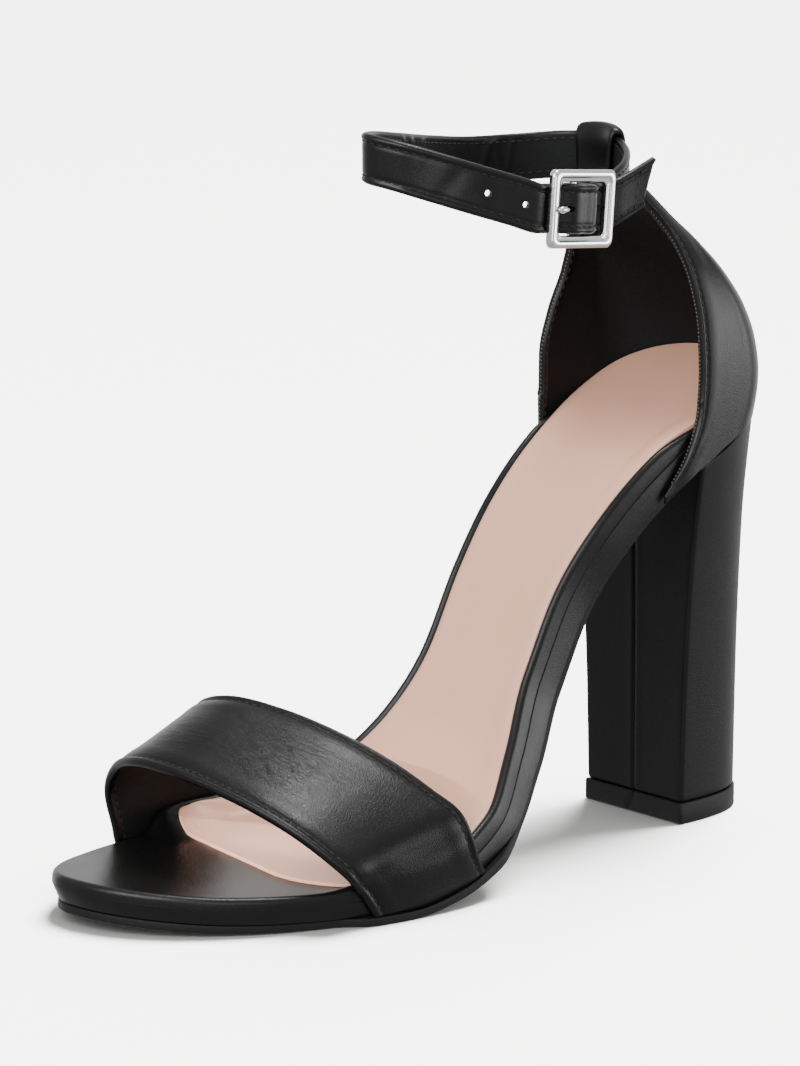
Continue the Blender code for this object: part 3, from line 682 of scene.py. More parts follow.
def platform_rim(x):
    """The wall: square, with its foot drawn in at the toe."""
    joint = 0.3 - 0.26 * ramp(x, *JOINT_CLOSE)
    prof = rounded_edge(platform_top(x) + GAP, platform_low(x), joint, 0.5, 2.6 + 0 * x)
    share = [np.clip((platform_top(x) - depth) / platform_t(x), 0, 1) for _, depth in prof]
    return [(inset + toe_slant(x) * part, depth) for (inset, depth), part in zip(prof, share)]


sole_piece("board_wrap", outline, HEEL_BACK + TIP, TOE_X - TIP, board_rim, [LEATHER],
           ("insole_board",), lift=lambda x, y: 0.95 * curl(x, y))
sole_piece("platform_wrap", outline, HEEL_BACK + TIP, TOE_X - TIP, platform_rim, [LEATHER],
           ("platform",))

# %% [markdown]
# ### Outsole
#
# A thin moulded sole, set in from the wall, that reaches out under the feet of the toe strap to carry
# them. It could be cut from the platform's mesh, but its own outline is simple: the last's, narrowed,
# with two soft bulges.

# %% Outsole
TOE_STRAP_FOOT = (
    # outer, then inner side: rear and front x at the platform's foot, rear and front x at the board's top
    (84.0, 117.6, 87.5, 122.0), (94.0, 136.0, 97.0, 137.0),
)
SLANT_SHARE = 0.4
FLARE_BLEND = 9.0
HALF_SOLE = 36.0
OUTSOLE_END = TOE_X - OUTSOLE_INSET - SLANT_SHARE * toe_slant(TOE_X) - TIP


def outsole_edge(x):
    """Outline of the outsole, as y on both sides."""
    inset = OUTSOLE_INSET + SLANT_SHARE * toe_slant(x)
    outer, inner = outline(x + inset * ramp(x, 130.0, 35.0))
    middle = (outer + inner) / 2
    narrow = 1 - inset / HALF_SOLE
    reach = [OUTSOLE_FLARE * ramp(x, rear - FLARE_BLEND, FLARE_BLEND) * (1 - ramp(x, front, FLARE_BLEND))
             for rear, front, _, _ in TOE_STRAP_FOOT]
    return middle + (outer - middle) * narrow + reach[0], middle + (inner - middle) * narrow - reach[1]


def outsole_rim(x):
    return rounded_edge(outsole_top(x) + GAP, outsole_top(x) - OUTSOLE_T, 0.4, 0.45, 2.2)


sole_piece("outsole_rubber", outsole_edge, OUTSOLE_START, OUTSOLE_END, outsole_rim, [RUBBER],
           ("outsole",))

# %% [markdown]
# ## Heel
#
# A plastic block, a D in plan, covered with leather whose two edges meet in a seam down the flat front,
# and a rubber top lift to stand on. A bevelled prism can't widen upward as it does, so outlines at a
# row of heights are skinned. A groove under the heel cup keeps the joint between them in sight.

# %% Heel block and top lift
LIFT_H = 5.6
HEEL_POWER = 2.6
HEEL = (
    # share of height, half width, back of the D, front face
    (0.00, 17.7, -29.0, 0.0), (0.35, 18.7, -29.0, 0.0), (0.70, 21.2, -29.0, 0.2), (0.90, 24.4, -29.2, 1.0),
    (1.00, 26.4, -29.4, 1.6),
)


def d_ring(half, back, front, corner, seam=0.0, sides=72, face=36):
    """Outline of the heel in plan, from the outer front corner round the back, then across the breast."""
    turn = np.linspace(0, math.pi, sides + 1)
    along = np.sin(turn) ** (2 / HEEL_POWER)
    across = np.sign(np.cos(turn)) * np.abs(np.cos(turn)) ** (2 / HEEL_POWER)
    x = front + (back - front) * along
    y = half * across
    keep = x < front - corner
    side = np.stack([x[keep], y[keep]], 1)
    edge_y = np.interp(front - corner, x[:sides // 2][::-1], y[:sides // 2][::-1])
    t = np.linspace(0, 1, 9)[:, None]
    knee = np.array((front, half))
    a = np.array((front, half - corner))
    b = np.array((front - corner, edge_y))
    bend = (1 - t) ** 2 * a + 2 * t * (1 - t) * knee + t * t * b
    mirror = np.array((1, -1))
    ys = np.linspace(-1, 1, face + 1)[1:-1]
    ys = np.sign(ys) * np.abs(ys) ** 1.5 * (half - corner)
    dip = seam * (bell(ys, 0.28) - 0.2 * bell(np.abs(ys) - 1.3, 1.0))
    breast = np.stack([front - dip, ys], 1)
    return np.vstack([bend, side, (bend * mirror)[::-1], breast])


def d_piece(name, rings, mats, stands_for):
    """Skin through D outlines, each end closed by one face."""
    size = len(rings[0])
    faces = quads(len(rings), size, round_cols=True)
    faces += [tuple(range(size)), tuple(range((len(rings) - 1) * size, len(rings) * size))]
    return add_piece(name, np.vstack(rings), faces, mats, stands_for)


HEEL_CORNER = 1.3
LIFT_CORNER = 0.8
SEAM_DEPTH = 0.4
HEEL_LIP = 0.5
HEEL_START = (0.0, 0.004, 0.01)
GROOVE = (
    # share of height, depth
    (0.983, 0.0), (0.9855, 0.15), (0.9865, 0.5), (0.9875, 1.3),
)
HEEL_SHARES = np.concatenate([HEEL_START, np.linspace(0.02, 0.975, 44), [row[0] for row in GROOVE],
                              [0.993, 1.0]])
LIFT_RINGS = (
    # height, inset
    (0.0, 0.5), (0.12, 0.2), (0.45, 0.0), (2.8, 0.0), (LIFT_H - 0.35, 0.0), (LIFT_H - 0.08, 0.15),
    (LIFT_H, 0.4),
)


def build_heel():
    cols = [smooth([row[0] for row in HEEL], [row[i] for row in HEEL]) for i in (1, 2, 3)]
    base = LIFT_H + 0.05
    rings = []
    for share in HEEL_SHARES:
        half, back, front = [float(col(share)) for col in cols]
        lip = HEEL_LIP * (1 - min(share / HEEL_START[-1], 1.0)) ** 2 + float(np.interp(share, *zip(*GROOVE)))
        plan = d_ring(half - lip, back + lip, front - lip, HEEL_CORNER, SEAM_DEPTH)
        top = height_at(plan[:, 0], outsole_top) + GAP
        rings.append(np.column_stack([plan, base + (top - base) * share]))
    d_piece("heel_wrap", rings, [HEEL_LEATHER], ("heel_block",))
    _, half, back, front = HEEL[0]
    rings = []
    for z, inset in LIFT_RINGS:
        grow = LIFT_STEP - inset
        plan = d_ring(half + grow, back - grow, front + grow, LIFT_CORNER)
        breast = plan[:, 0] > front + grow - 0.05
        mark = 0.35 * bell(plan[:, 1] + 0.8 - 0.45 * (z - LIFT_H / 2), 0.4)
        plan[:, 0] -= np.where(breast, mark, 0)
        rings.append(np.column_stack([plan, np.full(len(plan), z)]))
    d_piece("lift_rubber", rings, [RUBBER], ("top_lift",))


build_heel()

# %% [markdown]
# ## Sewn sheets
#
# Upper leather and its lining are about 2 mm together, with the edges folded over, glued and stitched.
# A solidify modifier gives a wall, but square edges. So the wall is built from a grid of inner points
# and their normals: it thins to a round edge, and the roll, the stitch groove and the panel behind it
# are added as relief.

# %% Sewn sheets
WALL = 2.0
EDGE_SEAM = 2.4
STRAP_UPRIGHT = 6.0


def relax(grid, weight, times):
    """Even out a grid of points where a weight asks for it, its border held."""
    out = grid.copy()
    for _ in range(times):
        mean = out.copy()
        mean[1:-1, 1:-1] = (out[:-2, 1:-1] + out[2:, 1:-1] + out[1:-1, :-2] + out[1:-1, 2:]) / 4
        out += (mean - out) * weight[..., None]
    return out


def unit_normals(grid):
    normal = np.cross(np.gradient(grid, axis=0), np.gradient(grid, axis=1))
    return normal / np.maximum(np.linalg.norm(normal, axis=2), 1e-9)[..., None]


def across_run(grid):
    """Distance from both side edges, at each point of a grid whose second index runs across."""
    step = np.linalg.norm(np.diff(grid, axis=1), axis=2)
    run = np.concatenate([np.zeros((len(grid), 1)), np.cumsum(step, axis=1)], axis=1)
    return run, run[:, -1:] - run


def turned(edge, roll, stitch):
    """Relief of a turned and stitched edge, by distance from it."""
    lift = roll * bell(edge - 1.2, 0.8)
    groove = 0.3 * bell(edge - stitch, 0.4)
    behind = 0.22 * bell(edge - stitch - 2.6, 2.2)
    return lift - groove + behind


LEATHER_TURN = 2.2


def sewn_sheet(name, inside, outward, relief, seated, mats, slot, stands_for, wall, **marks):
    """Leather of a given wall on a grid of inner points; gives its faces and normals for the stitches."""
    normal = unit_normals(inside) * outward
    left, right = across_run(inside)
    edge = np.minimum(left, right)
    r = wall / 2
    k = np.clip(edge / r, 0, 1)
    half = r * np.sqrt(np.clip(1 - (1 - k) ** 2, 0, 1))
    outer = inside + normal * (r + half + relief * np.clip(edge / 0.6, 0, 1))[..., None]
    inner = inside + normal * (r - half)[..., None]
    for row in seated:
        for points in (outer, inner):
            points[row, :, 2] = height_at(points[row, :, 0], platform_low)
    rows, cols = edge.shape
    verts = np.vstack([outer.reshape(-1, 3), inner.reshape(-1, 3)])
    size = rows * cols
    faces = quads(rows, cols) + quads(rows, cols, size, flip=True)
    kinds = [0] * (len(faces) // 2)
    near = (edge[:-1, :-1] < LEATHER_TURN).reshape(-1)
    kinds += np.where(near, 0, 1).tolist()
    for row in (0, rows - 1):
        for j in range(cols - 1):
            a = row * cols + j
            faces.append((a, a + 1, a + 1 + size, a + size))
            kinds.append(0)
    marks = {key: np.concatenate([mark.reshape(size, -1)] * 2) for key, mark in marks.items()}
    add_piece(name, verts, faces, mats, stands_for, kinds, 0.002, marks)
    return outer, inner, normal, left, right


def seam_line(points, normal, distance, at, keep=(0.0, 1.0)):
    """Line on a sheet at a given distance from one edge, with the sheet's normal there."""
    line, out = [], []
    rows = len(points)
    for i in range(int(rows * keep[0]), int(rows * keep[1])):
        order = np.argsort(distance[i])
        d = distance[i][order]
        line.append([np.interp(at, d, points[i, order, c]) for c in range(3)])
        out.append([np.interp(at, d, normal[i, order, c]) for c in range(3)])
    return np.array(line), np.array(out)


print("a turned edge rises", round(float(turned(np.array([1.2]), 0.3, EDGE_SEAM)[0]), 2), "mm")

# %% [markdown]
# ## Stitches
#
# A sewing machine leaves a row of short thread bumps, 2.2 mm apart. They repeat by the hundred, so a
# Geometry Nodes group lays one bump along a line at that pitch, stands it on the leather and makes the
# copies real. Placing them by hand would give the same mesh with far more work.

# %% Stitches


def stitch_group():
    """Geometry Nodes: one stitch, laid along a line at a pitch, standing on the sheet."""
    group = bpy.data.node_groups.new("stitch_row", "GeometryNodeTree")
    face = group.interface
    face.new_socket("Line", in_out="INPUT", socket_type="NodeSocketGeometry")
    for name in ("Pitch", "Stitch Length", "Stitch Width", "Stitch Height", "Slant"):
        face.new_socket(name, in_out="INPUT", socket_type="NodeSocketFloat")
    face.new_socket("Thread", in_out="INPUT", socket_type="NodeSocketMaterial")
    face.new_socket("Stitches", in_out="OUTPUT", socket_type="NodeSocketGeometry")
    given = group.nodes.new("NodeGroupInput").outputs
    curve = node(group, "GeometryNodeMeshToCurve", {"Mesh": given["Line"]})
    even = node(group, "GeometryNodeResampleCurve", {"Curve": curve.outputs[0], "Length": given["Pitch"]},
                mode="LENGTH")
    out = node(group, "GeometryNodeInputNamedAttribute", {"Name": "out"}, data_type="FLOAT_VECTOR")
    along = node(group, "GeometryNodeInputTangent")
    stand = node(group, "FunctionNodeAlignRotationToVector", {"Vector": out.outputs["Attribute"]}, axis="Z")
    aim = node(group, "FunctionNodeAlignRotationToVector",
               {"Rotation": stand.outputs[0], "Vector": along.outputs[0]}, axis="X", pivot_axis="Z")
    tilt = node(group, "ShaderNodeCombineXYZ", {"Z": given["Slant"]})
    turn = node(group, "FunctionNodeEulerToRotation", {"Euler": tilt.outputs[0]})
    aim = node(group, "FunctionNodeRotateRotation",
               {"Rotation": aim.outputs[0], "Rotate By": turn.outputs[0]}, rotation_space="LOCAL")
    ball = node(group, "GeometryNodeMeshUVSphere", {"Segments": 8, "Rings": 5, "Radius": 0.5})
    size = node(group, "ShaderNodeCombineXYZ",
                {"X": given["Stitch Length"], "Y": given["Stitch Width"], "Z": given["Stitch Height"]})
    shape = node(group, "GeometryNodeTransform", {"Geometry": ball.outputs["Mesh"], "Scale": size.outputs[0]})
    rows = node(group, "GeometryNodeInstanceOnPoints",
                {"Points": even.outputs[0], "Instance": shape.outputs[0], "Rotation": aim.outputs[0]})
    real = node(group, "GeometryNodeRealizeInstances", {"Geometry": rows.outputs[0]})
    soft = node(group, "GeometryNodeSetShadeSmooth", {"Geometry": real.outputs[0]})
    paint = node(group, "GeometryNodeSetMaterial", {"Geometry": soft.outputs[0], "Material": given["Thread"]})
    end = group.nodes.new("NodeGroupOutput")
    group.links.new(paint.outputs[0], end.inputs["Stitches"])
    return group


STITCHES = stitch_group()


def stitch(lines, name, pitch=2.2, length=1.7, width=0.5, height=0.45, slant=0.0, thread=None):
    """Sew rows of stitches along lines on a sheet, as one piece."""
    verts, edges, out = [], [], []
    for line, normal in lines:
        first = len(verts)
        verts += (ORIGIN + np.asarray(line) * MM).tolist()
        out += np.asarray(normal).tolist()
        edges += [(first + i, first + i + 1) for i in range(len(line) - 1)]
    mesh = bpy.data.meshes.new(name + "_line")
    mesh.from_pydata(verts, edges, [])
    data = mesh.attributes.new("out", "FLOAT_VECTOR", "POINT").data
    data.foreach_set("vector", np.array(out, np.float32).ravel())
    guide = linked(name + "_line", mesh)
    sewn = guide.modifiers.new("stitches", "NODES")
    sewn.node_group = STITCHES
    values = {"Pitch": pitch * MM, "Stitch Length": length * MM, "Stitch Width": width * MM,
              "Stitch Height": height * MM, "Slant": slant, "Thread": thread or THREAD}
    for socket in STITCHES.interface.items_tree:
        if socket.in_out == "INPUT" and socket.name in values:
            sewn[socket.identifier] = values[socket.name]
    bpy.context.view_layer.update()
    graph = bpy.context.evaluated_depsgraph_get()
    done = bpy.data.meshes.new_from_object(guide.evaluated_get(graph))
    bpy.data.objects.remove(guide)
    done.name = name
    obj = linked(name, done)
    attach(obj, "root")
    print(name, len(done.polygons), "faces")
    return obj


print("inputs:", [socket.name for socket in STITCHES.interface.items_tree])

# %% [markdown]
# ## Toe strap
#
# One broad band over the toes; both feet are pulled down between the platform's wall and the outsole. A
# curve with a bevel would be even in width, but this band has two edges that run on different curves.
# So a sheet is spanned between a rear and a front line. Its creases are placed one by one, where toes
# bend it.

# %% Toe strap
STRAP_CROWN = 1.2
TOE_STRAP = (
    # rear edge x, y, z, front edge x, y, z
    (90.0, 34.5, 21.8, 127.0, 34.2, 13.5), (94.0, 29.0, 26.8, 133.0, 26.0, 21.0),
    (98.5, 21.0, 32.3, 137.0, 15.0, 26.0), (104.0, 10.0, 37.8, 140.0, 2.0, 29.4),
    (110.0, -6.0, 42.4, 142.6, -12.0, 31.6), (115.0, -20.6, 44.0, 143.2, -24.6, 31.4),
    (115.0, -32.0, 40.4, 141.6, -34.0, 28.2), (109.5, -39.8, 30.8, 140.0, -39.8, 21.5),
)
CREASES = (
    # start and end along (0 to 1) and across (0 to 1) the strap, depth, width in mm
    (0.33, 0.60, 0.40, 0.50, 0.06, 0.8), (0.36, 0.72, 0.42, 0.62, 0.05, 0.7),
    (0.38, 0.44, 0.45, 0.36, 0.06, 0.9), (0.42, 0.58, 0.48, 0.48, 0.05, 0.7),
    (0.40, 0.80, 0.46, 0.72, 0.05, 0.7), (0.30, 0.46, 0.36, 0.38, 0.05, 0.9),
    (0.46, 0.70, 0.52, 0.62, 0.04, 0.7), (0.27, 0.62, 0.32, 0.56, 0.05, 0.8),
    (0.48, 0.34, 0.55, 0.28, 0.04, 0.9), (0.60, 0.55, 0.66, 0.50, 0.05, 0.9),
    (0.62, 0.70, 0.68, 0.64, 0.05, 0.9),
)


def creases(u, v, along, across):
    """Soft troughs placed one by one, in a sheet's own two directions."""
    relief = np.zeros(np.broadcast(u, v).shape)
    for u0, v0, u1, v1, depth, width in CREASES:
        ax, ay = u0 * along, v0 * across
        bx, by = u1 * along, v1 * across
        dx, dy = bx - ax, by - ay
        size = math.hypot(dx, dy)
        px, py = u * along - ax, v * across - ay
        t = (px * dx + py * dy) / size ** 2
        off = (px * dy - py * dx) / size + 0.3 * np.sin(t * 4 + u0 * 40)
        fade = ease(t / 0.25) * ease((1 - t) / 0.25)
        relief -= depth * fade * (bell(off, width) - 0.5 * bell(off - 1.5 * width, width))
    return relief


def toe_strap_grid(along=420, across=86):
    """Inner face of the toe strap, from the outer side of the sole over to the inner."""
    sides = []
    for foot, side in zip(TOE_STRAP_FOOT, (0, 1)):
        rows = []
        for pair, level in ((foot[:2], platform_low), (foot[2:], board_top)):
            row = []
            for x in pair:
                row += [x, float(edge_at(x, side)), float(height_at(x, level))]
            rows.append(row)
        sides.append(rows)
    rows = sides[0] + [list(row) for row in TOE_STRAP] + sides[1][::-1]
    rear = spline([row[:3] for row in rows], along)
    front = spline([row[3:] for row in rows], along)
    t = (1 - np.cos(np.linspace(0, math.pi, across))) / 2
    t = 0.55 * t + 0.45 * np.linspace(0, 1, across)
    grid = rear[:, None] + (front - rear)[:, None] * t[None, :, None]
    crown = STRAP_CROWN * np.sin(math.pi * np.linspace(0, 1, along))
    grid[..., 2] += crown[:, None] * (4 * t * (1 - t))[None, :]
    x, y, z = grid[..., 0], grid[..., 1], grid[..., 2]
    low = ease((height_at(x, board_top) + STRAP_UPRIGHT + 2.0 - z) / 6.0)
    wide = np.where(y > 0, np.maximum(y, edge_at(x, 0)), np.minimum(y, edge_at(x, 1)))
    grid[..., 1] = y + (wide - y) * low
    return relax(grid, 0.8 * low, 30), t


BAND = (200.0, 40.0)
FOOT_WALL = 1.3
WORN = (
    # middle and width along, middle and width across, share
    (0.40, 0.10, 0.52, 0.30, 1.0), (0.62, 0.06, 0.62, 0.25, 0.7),
)
STITCH_LIFT = 0.02


def build_toe_strap():
    grid, t = toe_strap_grid()
    u = np.linspace(0, 1, len(grid))[:, None]
    v = t[None, :]
    left, right = across_run(grid)
    edge = np.minimum(left, right)
    foot = BAND[0] * np.minimum(u, 1 - u)
    relief = turned(edge, 0.3, EDGE_SEAM) * (0.35 + 0.65 * ease(foot / 10.0))
    relief = relief + creases(u, v, *BAND) * ramp(edge, 3.6, 2.0)
    wall = FOOT_WALL + (WALL - FOOT_WALL) * ease(foot / 16.0)
    sheet = np.stack(np.broadcast_arrays(u * BAND[0] * MM, v * BAND[1] * MM, 0 * u), axis=2)
    worn = sum(share * np.exp(-((u - u0) / du) ** 2 - ((v - v0) / dv) ** 2) for u0, du, v0, dv, share in WORN)
    outer, inner, normal, left, right = sewn_sheet(
        "toe_strap_leather", grid, 1, relief, (0, -1), [STRAP, LINING], "black_leather", ("toe_strap",), wall,
        sheet=sheet, worn=worn)
    lines = []
    for points, out in ((outer, normal), (inner, -normal)):
        for distance in (left, right):
            line, up = seam_line(points, out, distance, EDGE_SEAM, (0.02, 0.98))
            lines.append((line + up * STITCH_LIFT, up))
    stitch(lines, "toe_strap_stitches")


build_toe_strap()

# %% [markdown]
# ## Counter
#
# The closed heel cup, open in front: it follows the seat below and leans forward to the ankle. It could
# be sculpted from a cylinder; here the seat's own outline is carried up through a table of levels, so
# its foot fits the sole. Its cut front edges show fine grey dots of thread, and its top corners are
# rounded off.

# %% Counter
SEAT_GAP = 0.4
COUNTER = (
    # back x, z; outer edge x, z; inner edge x, z; width factor; shift in y
    (-26.7, 110.0, 14.2, 88.6, 12.4, 90.0, 1.000, 0.0), (-26.8, 115.0, 8.0, 97.5, 9.6, 97.5, 1.000, 0.0),
    (-26.2, 120.6, 3.6, 108.0, 9.8, 107.0, 1.000, 0.0), (-24.2, 127.0, 2.4, 119.0, 9.8, 118.0, 0.990, 0.0),
    (-20.2, 134.0, 2.2, 130.0, 7.5, 129.0, 0.955, 0.0), (-14.2, 141.4, 2.9, 141.0, 4.0, 139.5, 0.875, -0.3),
    (-7.0, 148.8, 4.2, 149.6, 3.0, 148.6, 0.750, -1.0), (0.0, 156.0, 6.0, 156.8, 5.0, 156.2, 0.560, -2.0),
    (5.4, 163.4, 9.8, 163.4, 9.0, 163.4, 0.400, -3.0),
)
TOP_CORNER = 0.08


def counter_grid(levels=150, turns=100):
    """Inner face of the heel cup: the seat's own outline, carried up and leaned forward."""
    cols = [smooth(np.linspace(0, 1, len(COUNTER)), col) for col in zip(*COUNTER)]
    front = COUNTER[0][2]
    i = np.arange(2 * turns + 1)[None, :]
    side = i <= turns
    share = np.abs(1 - i / turns)
    v = np.linspace(0, 1, levels)[:, None] * (1 - TOP_CORNER * share ** 6)
    xb, zb, xo, zo, xi, zi, width, shift = [col(v) for col in cols]
    along = 1 - np.cos(share * math.pi / 2) ** 1.2
    x = xb + (np.where(side, xo, xi) - xb) * along
    z = zb + (np.where(side, zo, zi) - zb) * along
    z[0] = height_at(x[0], platform_low)
    outer, inner = outline(HEEL_BACK + (front - HEEL_BACK) * along)
    y = np.where(side, outer, inner) * width + shift
    y = y + np.where(side, 1, -1) * SEAT_GAP * np.minimum(share * 8, 1)
    low = (x > SEAT_X) & (z < height_at(x, board_top) + STRAP_UPRIGHT)
    wide = np.where(side, np.maximum(y, edge_at(x, 0)), np.minimum(y, edge_at(x, 1)))
    y = np.where(low, wide, y)
    grid = np.stack([x, y, z], axis=2)
    near = np.clip(1.6 - np.abs(z - height_at(x, board_top) - STRAP_UPRIGHT) / 5.0, 0, 1)
    return relax(grid, near * 0.7, 16)


FRONT_EDGE = 75.0
LINING_SEAM = 1.3
THIN_FOOT = 1.1


def build_counter():
    grid = counter_grid()
    left, right = across_run(grid)
    edge = np.minimum(left, right)
    foot = FRONT_EDGE * np.linspace(0, 1, len(grid))[:, None]
    relief = turned(edge, 0.35, EDGE_SEAM) * ease(foot / 6.0)
    wall = WALL - THIN_FOOT * (1 - ease(foot / 12.0)) * (1 - ease(edge / 10.0))
    outer, inner, normal, left, right = sewn_sheet(
        "counter_leather", grid, -1, relief, (0,), [LEATHER, LINING], "black_leather", ("counter",), wall)
    for name, points, out, at, lift in (
            ("counter_stitches", outer, normal, EDGE_SEAM, STITCH_LIFT),
            ("counter_lining_stitches", inner, -normal, LINING_SEAM, 2 * STITCH_LIFT)):
        lines = []
        for distance in (left, right):
            line, up = seam_line(points, out, distance, at, (0.06, 0.97))
            lines.append((line + up * lift, up))
        stitch(lines, name)
    lines = []
    for rim, behind in ((outer[8:-4, 0], inner[8:-4, 3]), (outer[8:-4, -1], inner[8:-4, -4])):
        face = rim - behind
        lines.append((rim, face / np.linalg.norm(face, axis=1)[:, None]))
    stitch(lines, "counter_edge_stitches", 1.0, 0.62, 0.4, 0.3, 0.5, GREY_THREAD)


build_counter()

# %% [markdown]
# ## Path of the ankle strap
#
# One strap: folded round the buckle's centre bar, through the loop at the counter's top, round the
# ankle and back through the buckle to its free end. A cloth simulation could hang it, but the
# photograph shows where it lies, so its middle line goes through a table of points, with a direction
# for its width at each.

# %% Strap path
STRAP_W = 12.0
STRAP_T = 1.6
BUCKLE_AT = (46.4, 28.2, 164.2)
BUCKLE_HEADING = (1.0, 0.10, 0.09)
BUCKLE_LENGTH = 22.6
BUCKLE_HEIGHT = 19.0
BUCKLE_BAR = 3.0
BAR_CLEAR = 0.5
PIN_R = 0.9
PIN_DEPTH = -2.2
RING = (
    # x, y, z of the strap's middle, from the buckle's back round to its front
    (25.0, 20.5, 166.7), (13.5, 9.5, 169.7), (8.0, -3.0, 171.2), (10.5, -15.0, 171.0), (20.0, -23.0, 170.3),
    (35.0, -24.8, 170.5), (51.0, -20.5, 172.3), (70.0, -11.5, 175.1), (84.0, -4.5, 177.1), (91.2, 2.5, 177.6),
    (88.5, 11.0, 176.1), (81.5, 17.6, 173.3), (73.5, 22.6, 170.3), (64.8, 26.4, 167.3),
)
FREE_END = ((-16.0, -0.2, 1.6), (-20.5, 0.9, 3.8), (-28.0, 3.2, 8.2))


def buckle_matrix():
    """Frame of the buckle: X along the strap to the toe, Y outward, Z up its width."""
    along = Vector(BUCKLE_HEADING).normalized()
    up = Vector((0, 0, 1))
    up = (up - along * up.dot(along)).normalized()
    turn = Matrix((along, up.cross(along), up)).transposed().to_4x4()
    return Matrix.Translation(Vector(BUCKLE_AT)) @ turn


PLACE = buckle_matrix()
SQUARE = np.array(PLACE.col[2][:3])


def local(along, out, up=0.0):
    return np.array(PLACE @ Vector((along, out, up)))


def strap_path():
    """Middle line of the strap and its upright directions."""
    fold_r = PIN_R + GAP + STRAP_T / 2
    inside = PIN_DEPTH - fold_r
    over = PIN_DEPTH + fold_r + STRAP_T + GAP
    tuck = -BAR_CLEAR - STRAP_T / 2
    bar = (BUCKLE_LENGTH - BUCKLE_BAR) / 2
    fold = [local(-2.2, PIN_DEPTH + fold_r)]
    for turn in range(90, -91, -30):
        angle = math.radians(turn)
        fold.append(local(fold_r * math.cos(angle), PIN_DEPTH + fold_r * math.sin(angle)))
    fold.append(local(-4.0, inside))
    flat = BUCKLE_BAR / 2 + GAP
    ring = [local(-bar, inside)] + [np.array(p) for p in RING]
    ring += [local(bar + 3.5, tuck), local(bar + flat, tuck)]
    free = [local(bar + flat, tuck), local(bar - flat, tuck), local(3.0, over), local(0, over),
            local(-3.0, over), local(flat - bar, tuck), local(-bar - flat, tuck)]
    free += [local(*row) for row in FREE_END]
    parts = (spline(fold, 40)[:-1], spline([fold[-1]] + ring, 420)[:-1], spline(free, 110))
    rise = np.clip(4 - 8 * np.abs(np.linspace(-0.5, 0.5, len(parts[1]))), 0, 1)[:, None]
    upright = SQUARE + (np.array((0, 0, 1.0)) - SQUARE) * rise
    ups = np.vstack([np.tile(SQUARE, (len(parts[0]), 1)), upright, np.tile(SQUARE, (len(parts[2]), 1))])
    return np.vstack(parts), ups


def frame_along(points, ups):
    """Width and outward directions along a strap's path."""
    tangent = np.gradient(points, axis=0)
    tangent /= np.linalg.norm(tangent, axis=1)[:, None]
    width = ups - tangent * (tangent * ups).sum(axis=1)[:, None]
    width /= np.linalg.norm(width, axis=1)[:, None]
    return width, np.cross(tangent, width)


PATH, UPS = strap_path()
RUN = lengths(PATH)
WIDE, OUT = frame_along(PATH, UPS)
print("strap", round(float(RUN[-1]), 1), "mm long")

# %% [markdown]
# ## Strap leather
#
# Two layers sewn edge to edge: the outside has rolled edges and sunk stitch lines, the inside is flat
# lining. A section is carried along the path, row by row, because a bevelled curve can't change its
# section or be cut aslant at its end. Soft cross creases lie where the strap is bent.

# %% Strap section and creases
FREE_SLANT = 9.0
FREE_LIFT = 2.0
STRAP_SEAM = 1.9


def strap_section(count=27):
    """Places across the strap, with the offsets of its face and of its flat back from the middle."""
    w = STRAP_W / 2
    across = w * np.sin(np.linspace(-math.pi / 2, math.pi / 2, count))
    edge = w - np.abs(across)
    r = STRAP_T / 2
    k = np.clip(edge / r, 0, 1)
    half = r * np.sqrt(1 - (1 - k) ** 2)
    face = half + (0.22 * bell(edge - 0.95, 0.6) - 0.26 * bell(edge - STRAP_SEAM, 0.4)) * k
    return across, face, -half


STRAP_CREASES = (
    # x, y on the ring, depth, width, slant
    (62.0, -15.3, 0.35, 1.3, 0.25), (66.0, -13.4, 0.28, 1.0, 0.35), (57.0, -17.8, 0.22, 1.6, 0.1),
    (30.0, -24.8, 0.35, 1.2, -0.2), (26.0, -24.4, 0.30, 1.0, 0.15), (22.5, -23.8, 0.25, 1.0, -0.1),
    (79.0, 19.4, 0.20, 2.2, 0.2), (70.0, 24.3, 0.16, 2.0, -0.15), (84.5, 15.2, 0.18, 2.0, 0.1),
)


def strap_creases(across):
    """Soft cross troughs where the strap bends, placed one by one."""
    dip = np.zeros(len(RUN))
    for x, y, depth, width, slant in STRAP_CREASES:
        at = RUN[np.hypot(PATH[:, 0] - x, PATH[:, 1] - y).argmin()]
        dip -= depth * bell(RUN - at - slant * across * 2, width)
    return dip


def strap_points(across, off):
    """Points of one long line of the strap, at a place across it and an offset from its middle."""
    off = off + strap_creases(across)[:, None] * ease((STRAP_W / 2 - abs(across)) / 2.0)
    cut = np.clip(1 - (RUN[-1] - RUN) / (3 * FREE_SLANT), 0, 1)
    share = (STRAP_W / 2 - across) / STRAP_W
    hollow = (1.6 * math.sin(math.pi * share) + 1.3 * math.exp(-(share / 0.06) ** 2)) * cut ** 2
    where = RUN - FREE_SLANT * cut * share - hollow
    middle, wide, out = [resample(table, RUN, where) for table in (PATH, WIDE, OUT)]
    return middle + wide * across + out * off + WIDE * (FREE_LIFT * cut * share)[:, None]


print("strap section", STRAP_W, "by", STRAP_T, "mm")

# %% [markdown]
# ## Punched holes
#
# Holes for the prong are punched through both layers. They could be painted on, but light passes
# through them, so round cutters are taken away with one Boolean, and the plain mesh is kept.

# %% Holes
HOLE_R = 0.8
HOLES = (-27.7, -17.6, 7.6)
PRONG_SLOT = (6.6, 5.8, 2.4)
SLOT_AT = (0.6, PIN_DEPTH, 0)
PRONG_HOLE = (5.2, 1.0, 0)
PRONG_HOLE_DEPTH = 4.4
PRONG_HOLE_STRETCH = 2.0
WELD = 0.002 * MM
ISLAND = 40


